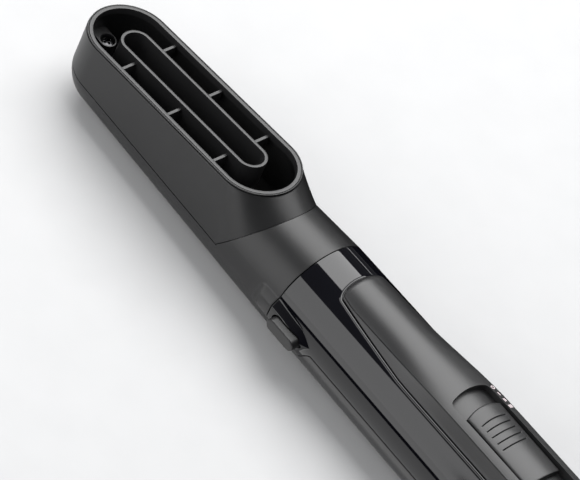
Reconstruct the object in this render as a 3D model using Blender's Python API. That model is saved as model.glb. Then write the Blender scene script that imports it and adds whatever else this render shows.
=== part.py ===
"""Hot-air styler: a two-shell handle with heater, fan and switch, and a slide-on drying nozzle.

The styler lies on its back. +X runs from the nozzle to the tail, +Z is up (the side that blows
air), Z = 0 is the surface it lies on, and the object is symmetric about Y = 0.
All driving dimensions are in millimetres, and MM turns them into metres when a mesh is made.
Along X they are measured from the joint plane between nozzle and handle. The empty styler then
moves everything so that the origin is under the middle of the whole object.
"""
import math

import bmesh
import bpy
import numpy as np
from mathutils import Matrix, Vector

MM = 0.001

# --- fits shared by all pieces -----------------------------------------------------------------
GAP = 0.3                    # clearance between neighbouring pieces
JOINT_RADIUS = 21.0          # outer radius of nozzle and handle where they meet
REST_FLAT = 0.15             # depth of the flat strip that the handle lies on
JOINT_AXIS_Z = JOINT_RADIUS - REST_FLAT

# --- handle ------------------------------------------------------------------------------------
HANDLE_TAPER = 0.0093        # growth of the radius per millimetre towards the tail
HANDLE_WALL = 2.0
TAIL_START = 150.0           # the handle narrows from here
TAIL_END = 190.0
TAIL_RADIUS = 17.6
SEAM_DROP = 4.0              # degrees below horizontal of the seam between the shells
SEAM_DROP_FRONT = 25.0       # the same beside the release buttons
SEAM_CURL = (15.0, 22.5)     # X range in which the seam drops round the button

# --- release latch bosses ----------------------------------------------------------------------
BOSS_HEIGHT = 2.0            # how far the boss stands out of the tube
BOSS_HALF_FLAT = 6.5         # degrees either side of horizontal that are flat
BOSS_HALF_FOOT = 19.0        # degrees either side of horizontal where the boss meets the tube
BOSS_END_HANDLE = 21.0
BOSS_END_NOZZLE = -15.0
BUTTON_X = 9.6
BUTTON_LENGTH = 14.0
BUTTON_HEIGHT = 6.4
BUTTON_TOP = 26.0            # distance of the button's face from the centre plane
BUTTON_FLANGE = (16.6, 18.0)  # distances of the retaining flange's faces from the centre plane

# --- grip panel and switch ---------------------------------------------------------------------
PANEL_START = 15.0
PANEL_END = 160.0
PANEL_RISE_START = 20.0      # the panel thickens from here to PANEL_RISE_END
PANEL_RISE_END = 90.0
PANEL_THIN = 0.9
PANEL_THICK = 4.0
RECESS_START = 71.2          # the thumb switch runs in this pocket
RECESS_END = 122.0
RECESS_HALF_WIDTH = 9.0
RECESS_BOW = 1.7             # how far the pocket's front edge bows back at its sides
RECESS_FLOOR = 1.0           # panel thickness left under the pocket
KNOB_START = 79.2
KNOB_END = 113.0
KNOB_HALF_WIDTH = 8.0
KNOB_THICK = 2.4
KNOB_GROOVES = (85.4, 88.35, 91.3, 94.3, 97.2)
STEM_HALF_WIDTH = 2.2
STEM_X = (92.0, 98.0)
STEM_SLOT_X = (84.5, 102.5)

# --- nozzle ------------------------------------------------------------------------------------
NOZZLE_TAPER = 0.0424        # loss of radius per millimetre away from the joint
NOZZLE_SLOPE = 0.0353        # fall of the nozzle's axis per millimetre away from the joint
NOZZLE_WALL = 1.8
TIP_X = -115.0               # centre of the rounded tip
CORNER_X = -33.4             # side crease and collar crease meet here
CREASE_DROP = 4.0            # degrees below the widest line of the side crease
COLLAR_CREASE_RUN = 0.654    # millimetres along X per millimetre of height
RIM_NEAR_X = -43.7           # centres and radii of the outlet rim's two round ends
RIM_FAR_X = -114.8
RIM_NEAR_RADIUS = 16.4
RIM_FAR_RADIUS = 15.75
RIM_Z = 42.9                 # height of the rim plane at RIM_NEAR_X
RIM_SLOPE = 0.1019
RIM_WALL = 2.0

# --- outlet insert -----------------------------------------------------------------------------
INSERT_NEAR_X = -47.4
INSERT_FAR_X = -111.3
INSERT_RADIUS = 6.0
INSERT_WALL = 1.3
INSERT_DEPTH = 11.0
RIB_X = (-104.3, -78.7, -53.1)
RIB_THICK = 1.2
RIB_SETBACK = 2.0
RIB_DEPTH = 7.0

SCREW_X = -123.4
SCREW_TOP_Z = 24.2
SCREW_BOSS_RADIUS = 3.4

# --- inside the handle -------------------------------------------------------------------------
SPIGOT_X = (-19.0, 3.2)
SPIGOT_RADIUS = 17.4
SPIGOT_WALL = 1.6
HEATER_X = (19.0, 79.0)
HEATER_SLEEVE_RADIUS = 13.8
COIL_RADIUS = 10.4
COIL_TURNS = 7
MOTOR_X = (114.0, 142.0)
MOTOR_RADIUS = 11.5
FAN_X = (147.0, 158.0)
FAN_RADIUS = 15.6
FAN_BLADES = 9
CORE_Z = 21.4                # height of the axis of heater, motor and fan
CAP_X = (190.3, 212.0)
CASE_SCREW_X = 168.0
CASE_HEAD_Z = 4.6            # inner face of the case screw's head
CASE_POST_Z = 8.0            # where the lower shell's post meets the upper shell's
GLAND_RADIUS = 6.4
GLAND_BORE = 3.6
GLAND_REACH = 8.0            # how far the gland stands out of the intake cap

# The whole object's middle, which becomes the origin.
MIDDLE_X = 0.5 * (RIM_FAR_X - RIM_NEAR_RADIUS + CAP_X[1] + GLAND_REACH)


# --- shape rules -------------------------------------------------------------------------------
def smooth(value, low, high):
    """0 below low, 1 above high, an S-curve between."""
    t = min(max((value - low) / (high - low), 0.0), 1.0)
    return t * t * (3.0 - 2.0 * t)


def handle_radius(x):
    grown = JOINT_RADIUS + HANDLE_TAPER * min(x, TAIL_START)
    return grown + (TAIL_RADIUS - grown) * smooth(x, TAIL_START, TAIL_END + 6.0)


def handle_axis(x):
    return JOINT_RADIUS + HANDLE_TAPER * min(max(x, 0.0), TAIL_START) - REST_FLAT


def nozzle_radius(x):
    return JOINT_RADIUS + NOZZLE_TAPER * x


def nozzle_axis(x):
    return JOINT_AXIS_Z + NOZZLE_SLOPE * x


def boss_height(x):
    if x >= 0.0:
        return BOSS_HEIGHT * (1.0 - smooth(x, 6.0, BOSS_END_HANDLE))
    return BOSS_HEIGHT * (1.0 - smooth(-x, 0.0, -BOSS_END_NOZZLE))


def rim_z(x):
    return RIM_Z + RIM_SLOPE * (x - RIM_NEAR_X)


def panel_half_angle(x):
    """Half the angle that the grip panel covers, in degrees."""
    t = min(max((x - PANEL_START) / 40.0, 0.0), 1.0)
    side = 25.5 + 12.5 * t ** 0.8
    round_nose = math.sqrt(1.0 - (1.0 - min((x - PANEL_START + 0.25) / 3.6, 1.0)) ** 2)
    tail = math.sqrt(1.0 - max((x - PANEL_END + 14.0) / 14.4, 0.0) ** 2)
    return side * round_nose * tail


def panel_thickness(x):
    rise = smooth(x, PANEL_RISE_START, PANEL_RISE_END)
    fall = smooth(x, PANEL_END - 34.0, PANEL_END + 4.0)
    return PANEL_THIN + (PANEL_THICK - PANEL_THIN) * rise * (1.0 - fall)


# --- mesh helpers ------------------------------------------------------------------------------
def clear_scene():
    for obj in list(bpy.data.objects):
        bpy.data.objects.remove(obj, do_unlink=True)


def plastic(name, color, roughness, metallic=0.0):
    mat = bpy.data.materials.new(name)
    mat.use_nodes = True
    shader = mat.node_tree.nodes["Principled BSDF"]
    shader.inputs["Base Color"].default_value = (*color, 1.0)
    shader.inputs["Roughness"].default_value = roughness
    shader.inputs["Metallic"].default_value = metallic
    return mat


def body(name, points, faces, mat, crease=32.0):
    """One object from points in millimetres; faces are turned outwards."""
    bm = bmesh.new()
    verts = [bm.verts.new(Vector(p) * MM) for p in points]
    for face in faces:
        bm.faces.new([verts[i] for i in face])
    bmesh.ops.recalc_face_normals(bm, faces=bm.faces)
    mesh = bpy.data.meshes.new(name)
    bm.to_mesh(mesh)
    bm.free()
    mesh.shade_smooth()
    mesh.set_sharp_from_angle(angle=math.radians(crease))
    obj = bpy.data.objects.new(name, mesh)
    bpy.context.scene.collection.objects.link(obj)
    if mat:
        mesh.materials.append(mat)
    return obj


def strips(rows, count, closed, offset=0):
    """Quads between consecutive rows of count points."""
    last = count if closed else count - 1
    return [(offset + r * count + i, offset + r * count + (i + 1) % count,
             offset + (r + 1) * count + (i + 1) % count, offset + (r + 1) * count + i)
            for r in range(rows - 1) for i in range(last)]


def solid_loft(name, rows, mat, crease=32.0):
    """Closed body through rows of points, with a flat cap at each end."""
    rows = [list(row) for row in rows]
    count = len(rows[0])
    faces = strips(len(rows), count, True)
    faces.append(tuple(range(count)))
    faces.append(tuple(range((len(rows) - 1) * count, len(rows) * count)))
    return body(name, [p for row in rows for p in row], faces, mat, crease)


def walled_loft(name, outer, inner, mat, closed, crease=32.0):
    """Closed body between an outer and an inner skin with the same rows.

    closed says that each row is a full ring; otherwise its two ends get an edge face.
    """
    rows, count = len(outer), len(outer[0])
    total = rows * count
    points = [p for row in outer for p in row] + [p for row in inner for p in row]
    faces = strips(rows, count, closed) + strips(rows, count, closed, total)
    last = count if closed else count - 1
    for base in (0, (rows - 1) * count):
        faces += [(base + i, base + (i + 1) % count, total + base + (i + 1) % count,
                   total + base + i) for i in range(last)]
    if not closed:
        for end in (0, count - 1):
            faces += [(r * count + end, (r + 1) * count + end,
                       total + (r + 1) * count + end, total + r * count + end)
                      for r in range(rows - 1)]
    return body(name, points, faces, mat, crease)


def ring(x, radius, axis_z, segments):
    return [(x, radius * math.cos(a), axis_z + radius * math.sin(a))
            for a in (2.0 * math.pi * k / segments for k in range(segments))]


def turned(name, profile, mat, axis_z=CORE_Z, segments=40):
    """Ring-shaped body about X: profile is a closed outline of (x, radius)."""
    rows, count = [ring(x, r, axis_z, segments) for x, r in profile], segments
    faces = strips(len(rows), count, True)
    last = (len(rows) - 1) * count
    faces += [(last + i, last + (i + 1) % count, (i + 1) % count, i) for i in range(count)]
    return body(name, [p for row in rows for p in row], faces, mat)


def rod(name, stations, mat, axis_z=CORE_Z, segments=24):
    """Solid body about X through (x, radius) stations."""
    return solid_loft(name, [ring(x, r, axis_z, segments) for x, r in stations], mat)


def block(name, low, high, mat=None):
    corners = [(x, y, z) for z in (low[2], high[2])
               for x, y in ((low[0], low[1]), (high[0], low[1]), (high[0], high[1]), (low[0], high[1]))]
    return solid_loft(name, [corners[:4], corners[4:]], mat)


def post(name, x, y, stations, mat=None, segments=20):
    """Solid body about Z through (z, radius) stations."""
    rows = [[(x + r * math.cos(2.0 * math.pi * k / segments),
              y + r * math.sin(2.0 * math.pi * k / segments), z) for k in range(segments)]
            for z, r in stations]
    return solid_loft(name, rows, mat)


def pill(half_length, half_height, steps=7):
    """Outline of a pill in (along, up), starting at the right end's lower corner."""
    straight = half_length - half_height
    right = [(straight + half_height * math.cos(a), half_height * math.sin(a))
             for a in np.linspace(-math.pi / 2, math.pi / 2, steps)]
    return right + [(-u, -v) for u, v in right]


def pill_prism(name, centre_x, centre_z, sizes, mat=None):
    """Pill-shaped body along Y; sizes is a list of (y, half_length, half_height)."""
    rows = [[(centre_x + u, y, centre_z + v) for u, v in pill(length, height)]
            for y, length, height in sizes]
    return solid_loft(name, rows, mat)


def merge(name, objs):
    """Join separate helper bodies into one helper object."""
    bm = bmesh.new()
    for obj in objs:
        bm.from_mesh(obj.data)
        bpy.data.objects.remove(obj, do_unlink=True)
    mesh = bpy.data.meshes.new(name)
    bm.to_mesh(mesh)
    bm.free()
    joined = bpy.data.objects.new(name, mesh)
    bpy.context.scene.collection.objects.link(joined)
    return joined


def combine(obj, helper, operation):
    """Boolean with a helper body, which is hidden and moves with the object."""
    helper.parent = obj
    helper.hide_render = True
    helper.display_type = "WIRE"
    modifier = obj.modifiers.new(helper.name, "BOOLEAN")
    modifier.operation = operation
    modifier.solver = "EXACT"
    modifier.object = helper
    return obj


def finish_edges(obj, mat, crease=32.0):
    """Give a joined helper object its material and shading."""
    obj.data.materials.append(mat)
    obj.data.shade_smooth()
    obj.data.set_sharp_from_angle(angle=math.radians(crease))
    return obj


# --- nozzle ------------------------------------------------------------------------------------
def nozzle_section(x, inset, segments=48):
    """Ring of the tapered nozzle tube, with the latch bosses on both sides of its outer skin."""
    axis, radius = nozzle_axis(x), nozzle_radius(x) - inset
    row = []
    for k in range(segments):
        angle = 360.0 * k / segments
        off = min(angle % 180.0, 180.0 - angle % 180.0)
        fade = 1.0 - smooth(off, BOSS_HALF_FLAT, BOSS_HALF_FOOT)
        grow = boss_height(x) * fade if inset == 0.0 else 0.0
        turn = math.radians(angle)
        z = axis + (radius + grow) * math.sin(turn)
        row.append((x, (radius + grow) * math.cos(turn), max(z, 0.0)))
    return row


def nozzle_tip(inset, segments=48, steps=5):
    """Rings of the rounded tip, from its equator to its pole."""
    radius = nozzle_radius(TIP_X) - inset
    angles = [math.radians(84.0) * k / steps for k in range(1, steps + 1)]
    return [ring(TIP_X - radius * math.sin(a), radius * math.cos(a), nozzle_axis(TIP_X), segments)
            for a in angles]


def crease_z(x):
    return nozzle_axis(x) - nozzle_radius(x) * math.sin(math.radians(CREASE_DROP))


def below_crease(name):
    """Everything under the crease between the nozzle's two shells."""
    top = 62.0
    corner_z = crease_z(CORNER_X)
    outline = [(-140.0, crease_z(-140.0)), (CORNER_X, corner_z),
               (CORNER_X + COLLAR_CREASE_RUN * (top - corner_z), top), (8.0, top),
               (8.0, -12.0), (-140.0, -12.0)]
    return solid_loft(name, [[(x, y, z) for x, z in outline] for y in (-30.0, 30.0)], None)


def nozzle_rear_shell(mat):
    stations = (-GAP / 2, -5.0, -10.0, -15.0, -33.0, -60.0, -90.0, TIP_X)
    outer = [nozzle_section(x, 0.0) for x in stations] + nozzle_tip(0.0)
    shell = solid_loft("nozzle_rear_shell", outer, mat)
    hollow_stations = (4.0, -5.0, -33.0, -60.0, -90.0, TIP_X)
    hollow = solid_loft("nozzle_hollow", [nozzle_section(x, NOZZLE_WALL) for x in hollow_stations]
                        + nozzle_tip(NOZZLE_WALL), None)
    combine(shell, hollow, "DIFFERENCE")
    combine(shell, below_crease("nozzle_lower_part"), "INTERSECT")
    floor_z = nozzle_axis(SCREW_X) - 8.0
    pillar_top = SCREW_TOP_Z - 9.0 - GAP
    combine(shell, post("screw_pillar", SCREW_X, 0.0, [(floor_z - 3.2, 2.7), (pillar_top, 2.7)]), "UNION")
    combine(shell, post("pilot_hole", SCREW_X, 0.0, [(floor_z + 0.5, 1.25), (pillar_top + 1, 1.25)]),
            "DIFFERENCE")
    return shell


def tower_base_point(turn, inset, lift):
    """Point on the collar crease; turn runs from -90 to 90 degrees across the nozzle."""
    side = 1.0 if turn >= 0 else -1.0
    phi = math.radians(90.0 - abs(turn) * (90.0 + CREASE_DROP) / 90.0)
    x = CORNER_X
    for _ in range(12):
        radius = nozzle_radius(x) - inset
        z = nozzle_axis(x) + radius * math.sin(phi)
        x = CORNER_X + COLLAR_CREASE_RUN * (z - crease_z(CORNER_X) - lift)
    return (x, side * radius * math.cos(phi), z)


def tower_outlines(inset_rim, inset_base, lift, arc_steps=12, side_steps=4):
    """Matching rings at the rim (top) and at the crease (base)."""
    top, base = [], []
    for turn in np.linspace(-90.0, 90.0, arc_steps + 1):
        a = math.radians(turn)
        radius = RIM_NEAR_RADIUS - inset_rim
        top.append((RIM_NEAR_X + radius * math.cos(a), radius * math.sin(a)))
        base.append(tower_base_point(turn, inset_base, lift))
    for side in (1.0, -1.0):
        fractions = [k / side_steps for k in range(1, side_steps)]
        for f in fractions if side > 0 else reversed(fractions):
            x_top = RIM_NEAR_X + (RIM_FAR_X - RIM_NEAR_X) * f
            half = RIM_NEAR_RADIUS + (RIM_FAR_RADIUS - RIM_NEAR_RADIUS) * f - inset_rim
            top.append((x_top, side * half))
            x_base = CORNER_X + (TIP_X - CORNER_X) * f
            reach = (nozzle_radius(x_base) - inset_base) * math.cos(math.radians(CREASE_DROP))
            base.append((x_base, side * reach, crease_z(x_base) + lift))
        if side > 0:
            for turn in np.linspace(90.0, 270.0, arc_steps + 1):
                a = math.radians(turn)
                top.append((RIM_FAR_X + (RIM_NEAR_RADIUS - inset_rim) * math.cos(a),
                            (RIM_FAR_RADIUS - inset_rim) * math.sin(a)))
                reach = (nozzle_radius(TIP_X) - inset_base) * math.cos(math.radians(CREASE_DROP))
                base.append((TIP_X + reach * math.cos(a), reach * math.sin(a),
                             crease_z(TIP_X) + lift))
    return [(x, y, rim_z(x)) for x, y in top], base


def nozzle_front_shell(mat):
    top, base = tower_outlines(0.0, 0.0, GAP)
    top_in, base_in = tower_outlines(RIM_WALL, NOZZLE_WALL, GAP)
    shell = walled_loft("nozzle_front_shell", [top, base], [top_in, base_in], mat, True, 40.0)
    boss_low = SCREW_TOP_Z - 9.0
    combine(shell, post("screw_boss", SCREW_X, 0.0,
                        [(boss_low, SCREW_BOSS_RADIUS), (SCREW_TOP_Z, SCREW_BOSS_RADIUS)]), "UNION")
    combine(shell, block("screw_boss_web", (-130.3, -1.0, crease_z(TIP_X) + 0.8),
                         (SCREW_X - 2.0, 1.0, SCREW_TOP_Z - 1.0)), "UNION")
    combine(shell, post("screw_passage", SCREW_X, 0.0,
                        [(boss_low - 1.0, 1.4), (SCREW_TOP_Z - 3.0, 1.4), (SCREW_TOP_Z - 2.9, 2.75),
                         (SCREW_TOP_Z + 1.0, 2.75)]), "DIFFERENCE")
    return shell


def obround(radius, near_x, far_x, steps=9):
    near = [(near_x + radius * math.cos(a), radius * math.sin(a))
            for a in np.linspace(-math.pi / 2, math.pi / 2, steps)]
    far = [(far_x + radius * math.cos(a), radius * math.sin(a))
           for a in np.linspace(math.pi / 2, 1.5 * math.pi, steps)]
    return near + far


def outlet_insert(mat):
    """Long ring in the middle of the outlet, held by six ribs."""
    def rows(radius):
        outline = obround(radius, INSERT_NEAR_X, INSERT_FAR_X)
        return [[(x, y, rim_z(x) - depth) for x, y in outline] for depth in (0.0, INSERT_DEPTH)]
    insert = walled_loft("outlet_insert", rows(INSERT_RADIUS), rows(INSERT_RADIUS - INSERT_WALL),
                         mat, True)
    ribs = []
    for x in RIB_X:
        wall = RIM_NEAR_RADIUS - RIM_WALL - (RIM_NEAR_X - x) * 0.0092 - GAP
        for side in (-1.0, 1.0):
            near, far = sorted((side * (INSERT_RADIUS - 0.6), side * wall))
            z = rim_z(x) - RIB_SETBACK
            ribs.append(block("rib", (x - RIB_THICK / 2, near, z - RIB_DEPTH), (x + RIB_THICK / 2, far, z)))
    return combine(insert, merge("outlet_ribs", ribs), "UNION")


def nozzle_screw(mat):
    head = SCREW_TOP_Z - 2.5
    screw = post("nozzle_screw", SCREW_X, 0.0,
                 [(head - 12.0, 0.9), (head, 0.9), (head + 0.01, 2.4), (head + 1.2, 2.4), (head + 1.7, 1.7)],
                 mat)
    arms = [block("arm", (SCREW_X - a, -b, head + 0.9), (SCREW_X + a, b, head + 3.0))
            for a, b in ((1.3, 0.3), (0.3, 1.3))]
    for k, arm in enumerate(arms):
        arm.name = f"screw_drive_{k}"
        combine(screw, arm, "DIFFERENCE")
    return screw


# --- handle shells -----------------------------------------------------------------------------
def seam_angle(x):
    """Degrees that the shells' seam lies below horizontal."""
    return SEAM_DROP_FRONT + (SEAM_DROP - SEAM_DROP_FRONT) * smooth(x, *SEAM_CURL)


def handle_point(x, degrees, inset, grow=0.0):
    radius = handle_radius(x) - inset + grow
    turn = math.radians(degrees)
    z = handle_axis(x) + radius * math.sin(turn)
    return (x, radius * math.cos(turn), max(z, 0.0))


def upper_angles(x, arc_steps=18):
    """Angles of a row of the upper shell, with points on the boss's edges."""
    t = (SEAM_DROP_FRONT - seam_angle(x)) / (SEAM_DROP_FRONT - SEAM_DROP)
    foot = -BOSS_HALF_FOOT + (BOSS_HALF_FOOT - 2.8) * t
    flat = -BOSS_HALF_FLAT + (BOSS_HALF_FLAT - 1.4) * t
    right = [(-seam_angle(x), 0.0), (foot, 0.0), (flat, 1.0), (BOSS_HALF_FLAT, 1.0)]
    arc = [(a, 0.0) for a in np.linspace(BOSS_HALF_FOOT, 180.0 - BOSS_HALF_FOOT, arc_steps + 1)]
    left = [(180.0 - a, w) for a, w in reversed(right)]
    return right + arc + left


def handle_upper_shell(mat):
    stations = (GAP / 2, 6.0, 11.0, 15.0, 17.5, 20.0, 22.5, 60.0, 105.0, TAIL_START, 163.0, 177.0, TAIL_END)
    outer = [[handle_point(x, a, 0.0, w * boss_height(x)) for a, w in upper_angles(x)]
             for x in stations]
    inner = [[handle_point(x, a, HANDLE_WALL) for a, _ in upper_angles(x)] for x in stations]
    shell = walled_loft("handle_upper_shell", outer, inner, mat, False, 30.0)
    openings = [pill_prism(f"hole{side}", BUTTON_X, JOINT_AXIS_Z,
                           [(side * 15.0, BUTTON_LENGTH / 2 + GAP, BUTTON_HEIGHT / 2 + GAP),
                            (side * 28.0, BUTTON_LENGTH / 2 + GAP, BUTTON_HEIGHT / 2 + GAP)])
                for side in (-1, 1)]
    openings.append(block("stem_slot", (STEM_SLOT_X[0] - 1, -STEM_HALF_WIDTH - 0.6, 30.0),
                          (STEM_SLOT_X[1] + 1, STEM_HALF_WIDTH + 0.6, 50.0)))
    combine(shell, merge("upper_shell_openings", openings), "DIFFERENCE")
    ceiling = handle_axis(CASE_SCREW_X) + handle_radius(CASE_SCREW_X) - 1.0
    combine(shell, post("upper_case_post", CASE_SCREW_X, 0.0,
                        [(CASE_POST_Z + GAP, 3.0), (ceiling, 3.4)]), "UNION")
    return combine(shell, post("case_pilot_hole", CASE_SCREW_X, 0.0,
                               [(CASE_POST_Z - 1.0, 1.5), (CASE_POST_Z + 10.0, 1.5)]), "DIFFERENCE")


def handle_lower_shell(mat):
    stations = (GAP / 2, 11.0, 15.0, 17.5, 20.0, 22.5, 60.0, 105.0, TAIL_START, 163.0, 177.0, TAIL_END)
    seam_gap = math.degrees(1.3 * GAP / JOINT_RADIUS)

    def angles(x):
        start = 180.0 + seam_angle(x) + seam_gap
        side = list(np.linspace(start, 263.5, 8))
        return side + [270.0] + [540.0 - a for a in reversed(side)]
    outer = [[handle_point(x, a, 0.0) for a in angles(x)] for x in stations]
    inner = [[handle_point(x, a, HANDLE_WALL) for a in angles(x)] for x in stations]
    shell = walled_loft("handle_lower_shell", outer, inner, mat, False, 30.0)
    skin = handle_axis(CASE_SCREW_X) - handle_radius(CASE_SCREW_X)
    combine(shell, post("lower_case_post", CASE_SCREW_X, 0.0,
                        [(skin + 1.0, 4.2), (CASE_POST_Z, 4.2)]), "UNION")
    return combine(shell, post("case_screw_passage", CASE_SCREW_X, 0.0,
                               [(-5.0, 2.9), (CASE_HEAD_Z + GAP, 2.9), (CASE_HEAD_Z + GAP + 0.01, 1.5),
                                (CASE_POST_Z + 1.0, 1.5)]), "DIFFERENCE")


def panel_row(x, lift, half, steps=12):
    return [handle_point(x, 90.0 + a, 0.0, lift) for a in np.linspace(-half, half, steps + 1)]


def grip_panel(mat):
    """Matte panel on top of the handle, with the thumb switch's pocket."""
    nose = [PANEL_START + d for d in (0.0, 0.6, 1.6, 3.6)]
    tail = [PANEL_END - d for d in (14.0, 7.0, 2.5, 0.6)]
    stations = nose + [26.0, 38.0, 55.0, 72.0, 90.0, 122.0] + tail

    def rows(lift_of):
        return [panel_row(x, lift_of(x), panel_half_angle(x)) for x in stations]
    outer, inner = rows(lambda x: GAP + panel_thickness(x)), rows(lambda x: GAP)
    panel = walled_loft("grip_panel", outer, inner, mat, False, 30.0)

    def pocket_floor(y):
        radius = handle_radius(90.0) + GAP + RECESS_FLOOR
        return handle_axis(90.0) + math.sqrt(radius ** 2 - y ** 2)
    helper_rows = []
    for y in np.linspace(-RECESS_HALF_WIDTH, RECESS_HALF_WIDTH, 9):
        start = RECESS_START + RECESS_BOW * (y / RECESS_HALF_WIDTH) ** 2
        helper_rows.append([(start, y, pocket_floor(y)), (RECESS_END, y, pocket_floor(y)),
                            (RECESS_END, y, 60.0), (start, y, 60.0)])
    combine(panel, solid_loft("switch_pocket", helper_rows, None), "DIFFERENCE")
    slot = block("panel_stem_slot", (STEM_SLOT_X[0], -STEM_HALF_WIDTH - GAP, 30.0),
                 (STEM_SLOT_X[1], STEM_HALF_WIDTH + GAP, 60.0))
    return combine(panel, slot, "DIFFERENCE")


def thumb_switch(mat):
    """Ribbed knob in the pocket, with a stem through panel and shell."""
    def lift(x, top):
        return GAP + RECESS_FLOOR + GAP + (KNOB_THICK if top else 0.0)
    xs = [KNOB_START, KNOB_START + 0.8] + [g + d for g in KNOB_GROOVES for d in (-0.45, 0.0, 0.45)]
    xs += [KNOB_END - 0.8, KNOB_END]
    low_ends = {KNOB_START: 0.5, KNOB_END: 0.5}

    def row(x, top):
        base = handle_radius(90.0) + lift(x, top)
        if top:
            base -= low_ends.get(x, 0.0) + (0.6 if x in KNOB_GROOVES else 0.0)
        half = math.degrees(math.asin(KNOB_HALF_WIDTH / base))
        return [(x, base * math.sin(math.radians(a)), handle_axis(90.0) + base * math.cos(math.radians(a)))
                for a in np.linspace(-half, half, 7)]
    knob = walled_loft("thumb_switch", [row(x, True) for x in xs], [row(x, False) for x in xs],
                       mat, False, 30.0)
    top = handle_axis(90.0) + handle_radius(90.0) + 2.2
    return combine(knob, block("switch_stem", (STEM_X[0], -STEM_HALF_WIDTH, 32.5),
                               (STEM_X[1], STEM_HALF_WIDTH, top)), "UNION")


# --- release latches ---------------------------------------------------------------------------
def release_button(side_name, side, mat):
    """Button face, retaining flange and the arm with the hook that holds the nozzle."""
    half_length, half_height = BUTTON_LENGTH / 2, BUTTON_HEIGHT / 2
    flange_in, flange_out = BUTTON_FLANGE
    sizes = [(side * flange_in, half_length + 1.4, half_height + 1.3),
             (side * flange_out, half_length + 1.4, half_height + 1.3),
             (side * (flange_out + 0.01), half_length, half_height),
             (side * (BUTTON_TOP - 0.8), half_length, half_height),
             (side * BUTTON_TOP, half_length - 0.8, half_height - 0.8)]
    button = pill_prism(f"release_button_{side_name}", BUTTON_X, JOINT_AXIS_Z, sizes, mat)
    arm_low, arm_high = sorted((side * flange_in, side * (flange_out - 0.2)))
    arm = block(f"latch_arm_{side_name}", (-12.0, arm_low, JOINT_AXIS_Z - 2.6),
                (4.0, arm_high, JOINT_AXIS_Z + 2.6))
    hook_low, hook_high = sorted((side * 17.0, side * 18.2))
    hook = block(f"latch_hook_{side_name}", (-12.0, hook_low, JOINT_AXIS_Z - 2.6),
                 (-9.5, hook_high, JOINT_AXIS_Z + 2.6))
    combine(button, arm, "UNION")
    return combine(button, hook, "UNION")


def helix_tube(name, centre, axis, radius, length, turns, wire, mat, per_turn=14, sides=6):
    """Closed round wire wound about axis ('X' or 'Y') from centre over length."""
    count = int(turns * per_turn) + 1
    path = []
    for k in range(count):
        a = 2.0 * math.pi * turns * k / (count - 1)
        along = length * k / (count - 1)
        if axis == "X":
            path.append(Vector((centre[0] + along, centre[1] + radius * math.cos(a),
                                centre[2] + radius * math.sin(a))))
        else:
            path.append(Vector((centre[0] + radius * math.cos(a), centre[1] + along,
                                centre[2] + radius * math.sin(a))))
    rows = []
    for k, here in enumerate(path):
        ahead = path[min(k + 1, count - 1)] - path[max(k - 1, 0)]
        ahead.normalize()
        out = Vector((0.0, here.y - centre[1], here.z - centre[2])) if axis == "X" else \
            Vector((here.x - centre[0], 0.0, here.z - centre[2]))
        out = (out - ahead * out.dot(ahead)).normalized()
        up = ahead.cross(out)
        rows.append([tuple(here + wire * (math.cos(t) * out + math.sin(t) * up))
                     for t in (2.0 * math.pi * s / sides for s in range(sides))])
    return solid_loft(name, rows, mat, 60.0)


def latch_spring(side_name, side, mat):
    wire = 0.3
    inner_end = HEATER_SLEEVE_RADIUS + GAP + wire
    length = BUTTON_FLANGE[0] - GAP - wire - inner_end
    return helix_tube(f"latch_spring_{side_name}", (BUTTON_X, side * inner_end, JOINT_AXIS_Z),
                      "Y", 2.2, side * length, 2.5, wire, mat)


# --- air path ----------------------------------------------------------------------------------
def front_spigot(mat):
    x0, x1 = SPIGOT_X
    inner = SPIGOT_RADIUS - SPIGOT_WALL
    profile = [(x0, SPIGOT_RADIUS - 0.8), (x0 + 0.8, SPIGOT_RADIUS), (0.6, SPIGOT_RADIUS), (0.6, 18.6),
               (x1, 18.6), (x1, inner), (x0, inner)]
    spigot = turned("front_spigot", profile, mat, JOINT_AXIS_Z, 48)
    for name, low, half in (("latch_notches", -13.5, 3.2), ("flange_notches", 0.3, 5.4)):
        notch = block(name, (low, -22.0, JOINT_AXIS_Z - half), (x1 + 1.0, 22.0, JOINT_AXIS_Z + half))
        combine(spigot, notch, "DIFFERENCE")
    return spigot


def spigot_grille(mat):
    """Finger guard in the mouth of the spigot: two rings and a cross."""
    outer = SPIGOT_RADIUS - SPIGOT_WALL - GAP
    x = (SPIGOT_X[0] + 0.6, SPIGOT_X[0] + 2.8)

    def hoop(name, r_out, r_in):
        return turned(name, [(x[0], r_out), (x[1], r_out), (x[1], r_in), (x[0], r_in)], mat,
                      JOINT_AXIS_Z, 36)
    grille = hoop("spigot_grille", outer, outer - 1.6)
    combine(grille, hoop("grille_inner_hoop", 7.6, 6.2), "UNION")
    reach = outer - 0.7
    bars = [block(f"grille_bar_{k}", (x[0] + 0.3, -a, JOINT_AXIS_Z - b), (x[1] - 0.3, a, JOINT_AXIS_Z + b))
            for k, (a, b) in enumerate(((reach, 0.8), (0.8, reach)))]
    for bar in bars:
        combine(grille, bar, "UNION")
    return grille


def heater_sleeve(mat):
    x0, x1 = HEATER_X[0] - 14.0, HEATER_X[1] + 2.0
    r = HEATER_SLEEVE_RADIUS
    return turned("heater_sleeve", [(x0, r), (x1, r), (x1, r - 0.6), (x0, r - 0.6)], mat, CORE_Z, 36)


def heater_frame(mat):
    """Two crossed insulating plates that carry the heating coil."""
    reach, half = COIL_RADIUS - 1.1, 0.5
    outline = [(half, half), (reach, half), (reach, -half), (half, -half), (half, -reach), (-half, -reach),
               (-half, -half), (-reach, -half), (-reach, half), (-half, half), (-half, reach), (half, reach)]
    return solid_loft("heater_frame", [[(x, y, CORE_Z + z) for y, z in outline] for x in HEATER_X], mat)


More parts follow.
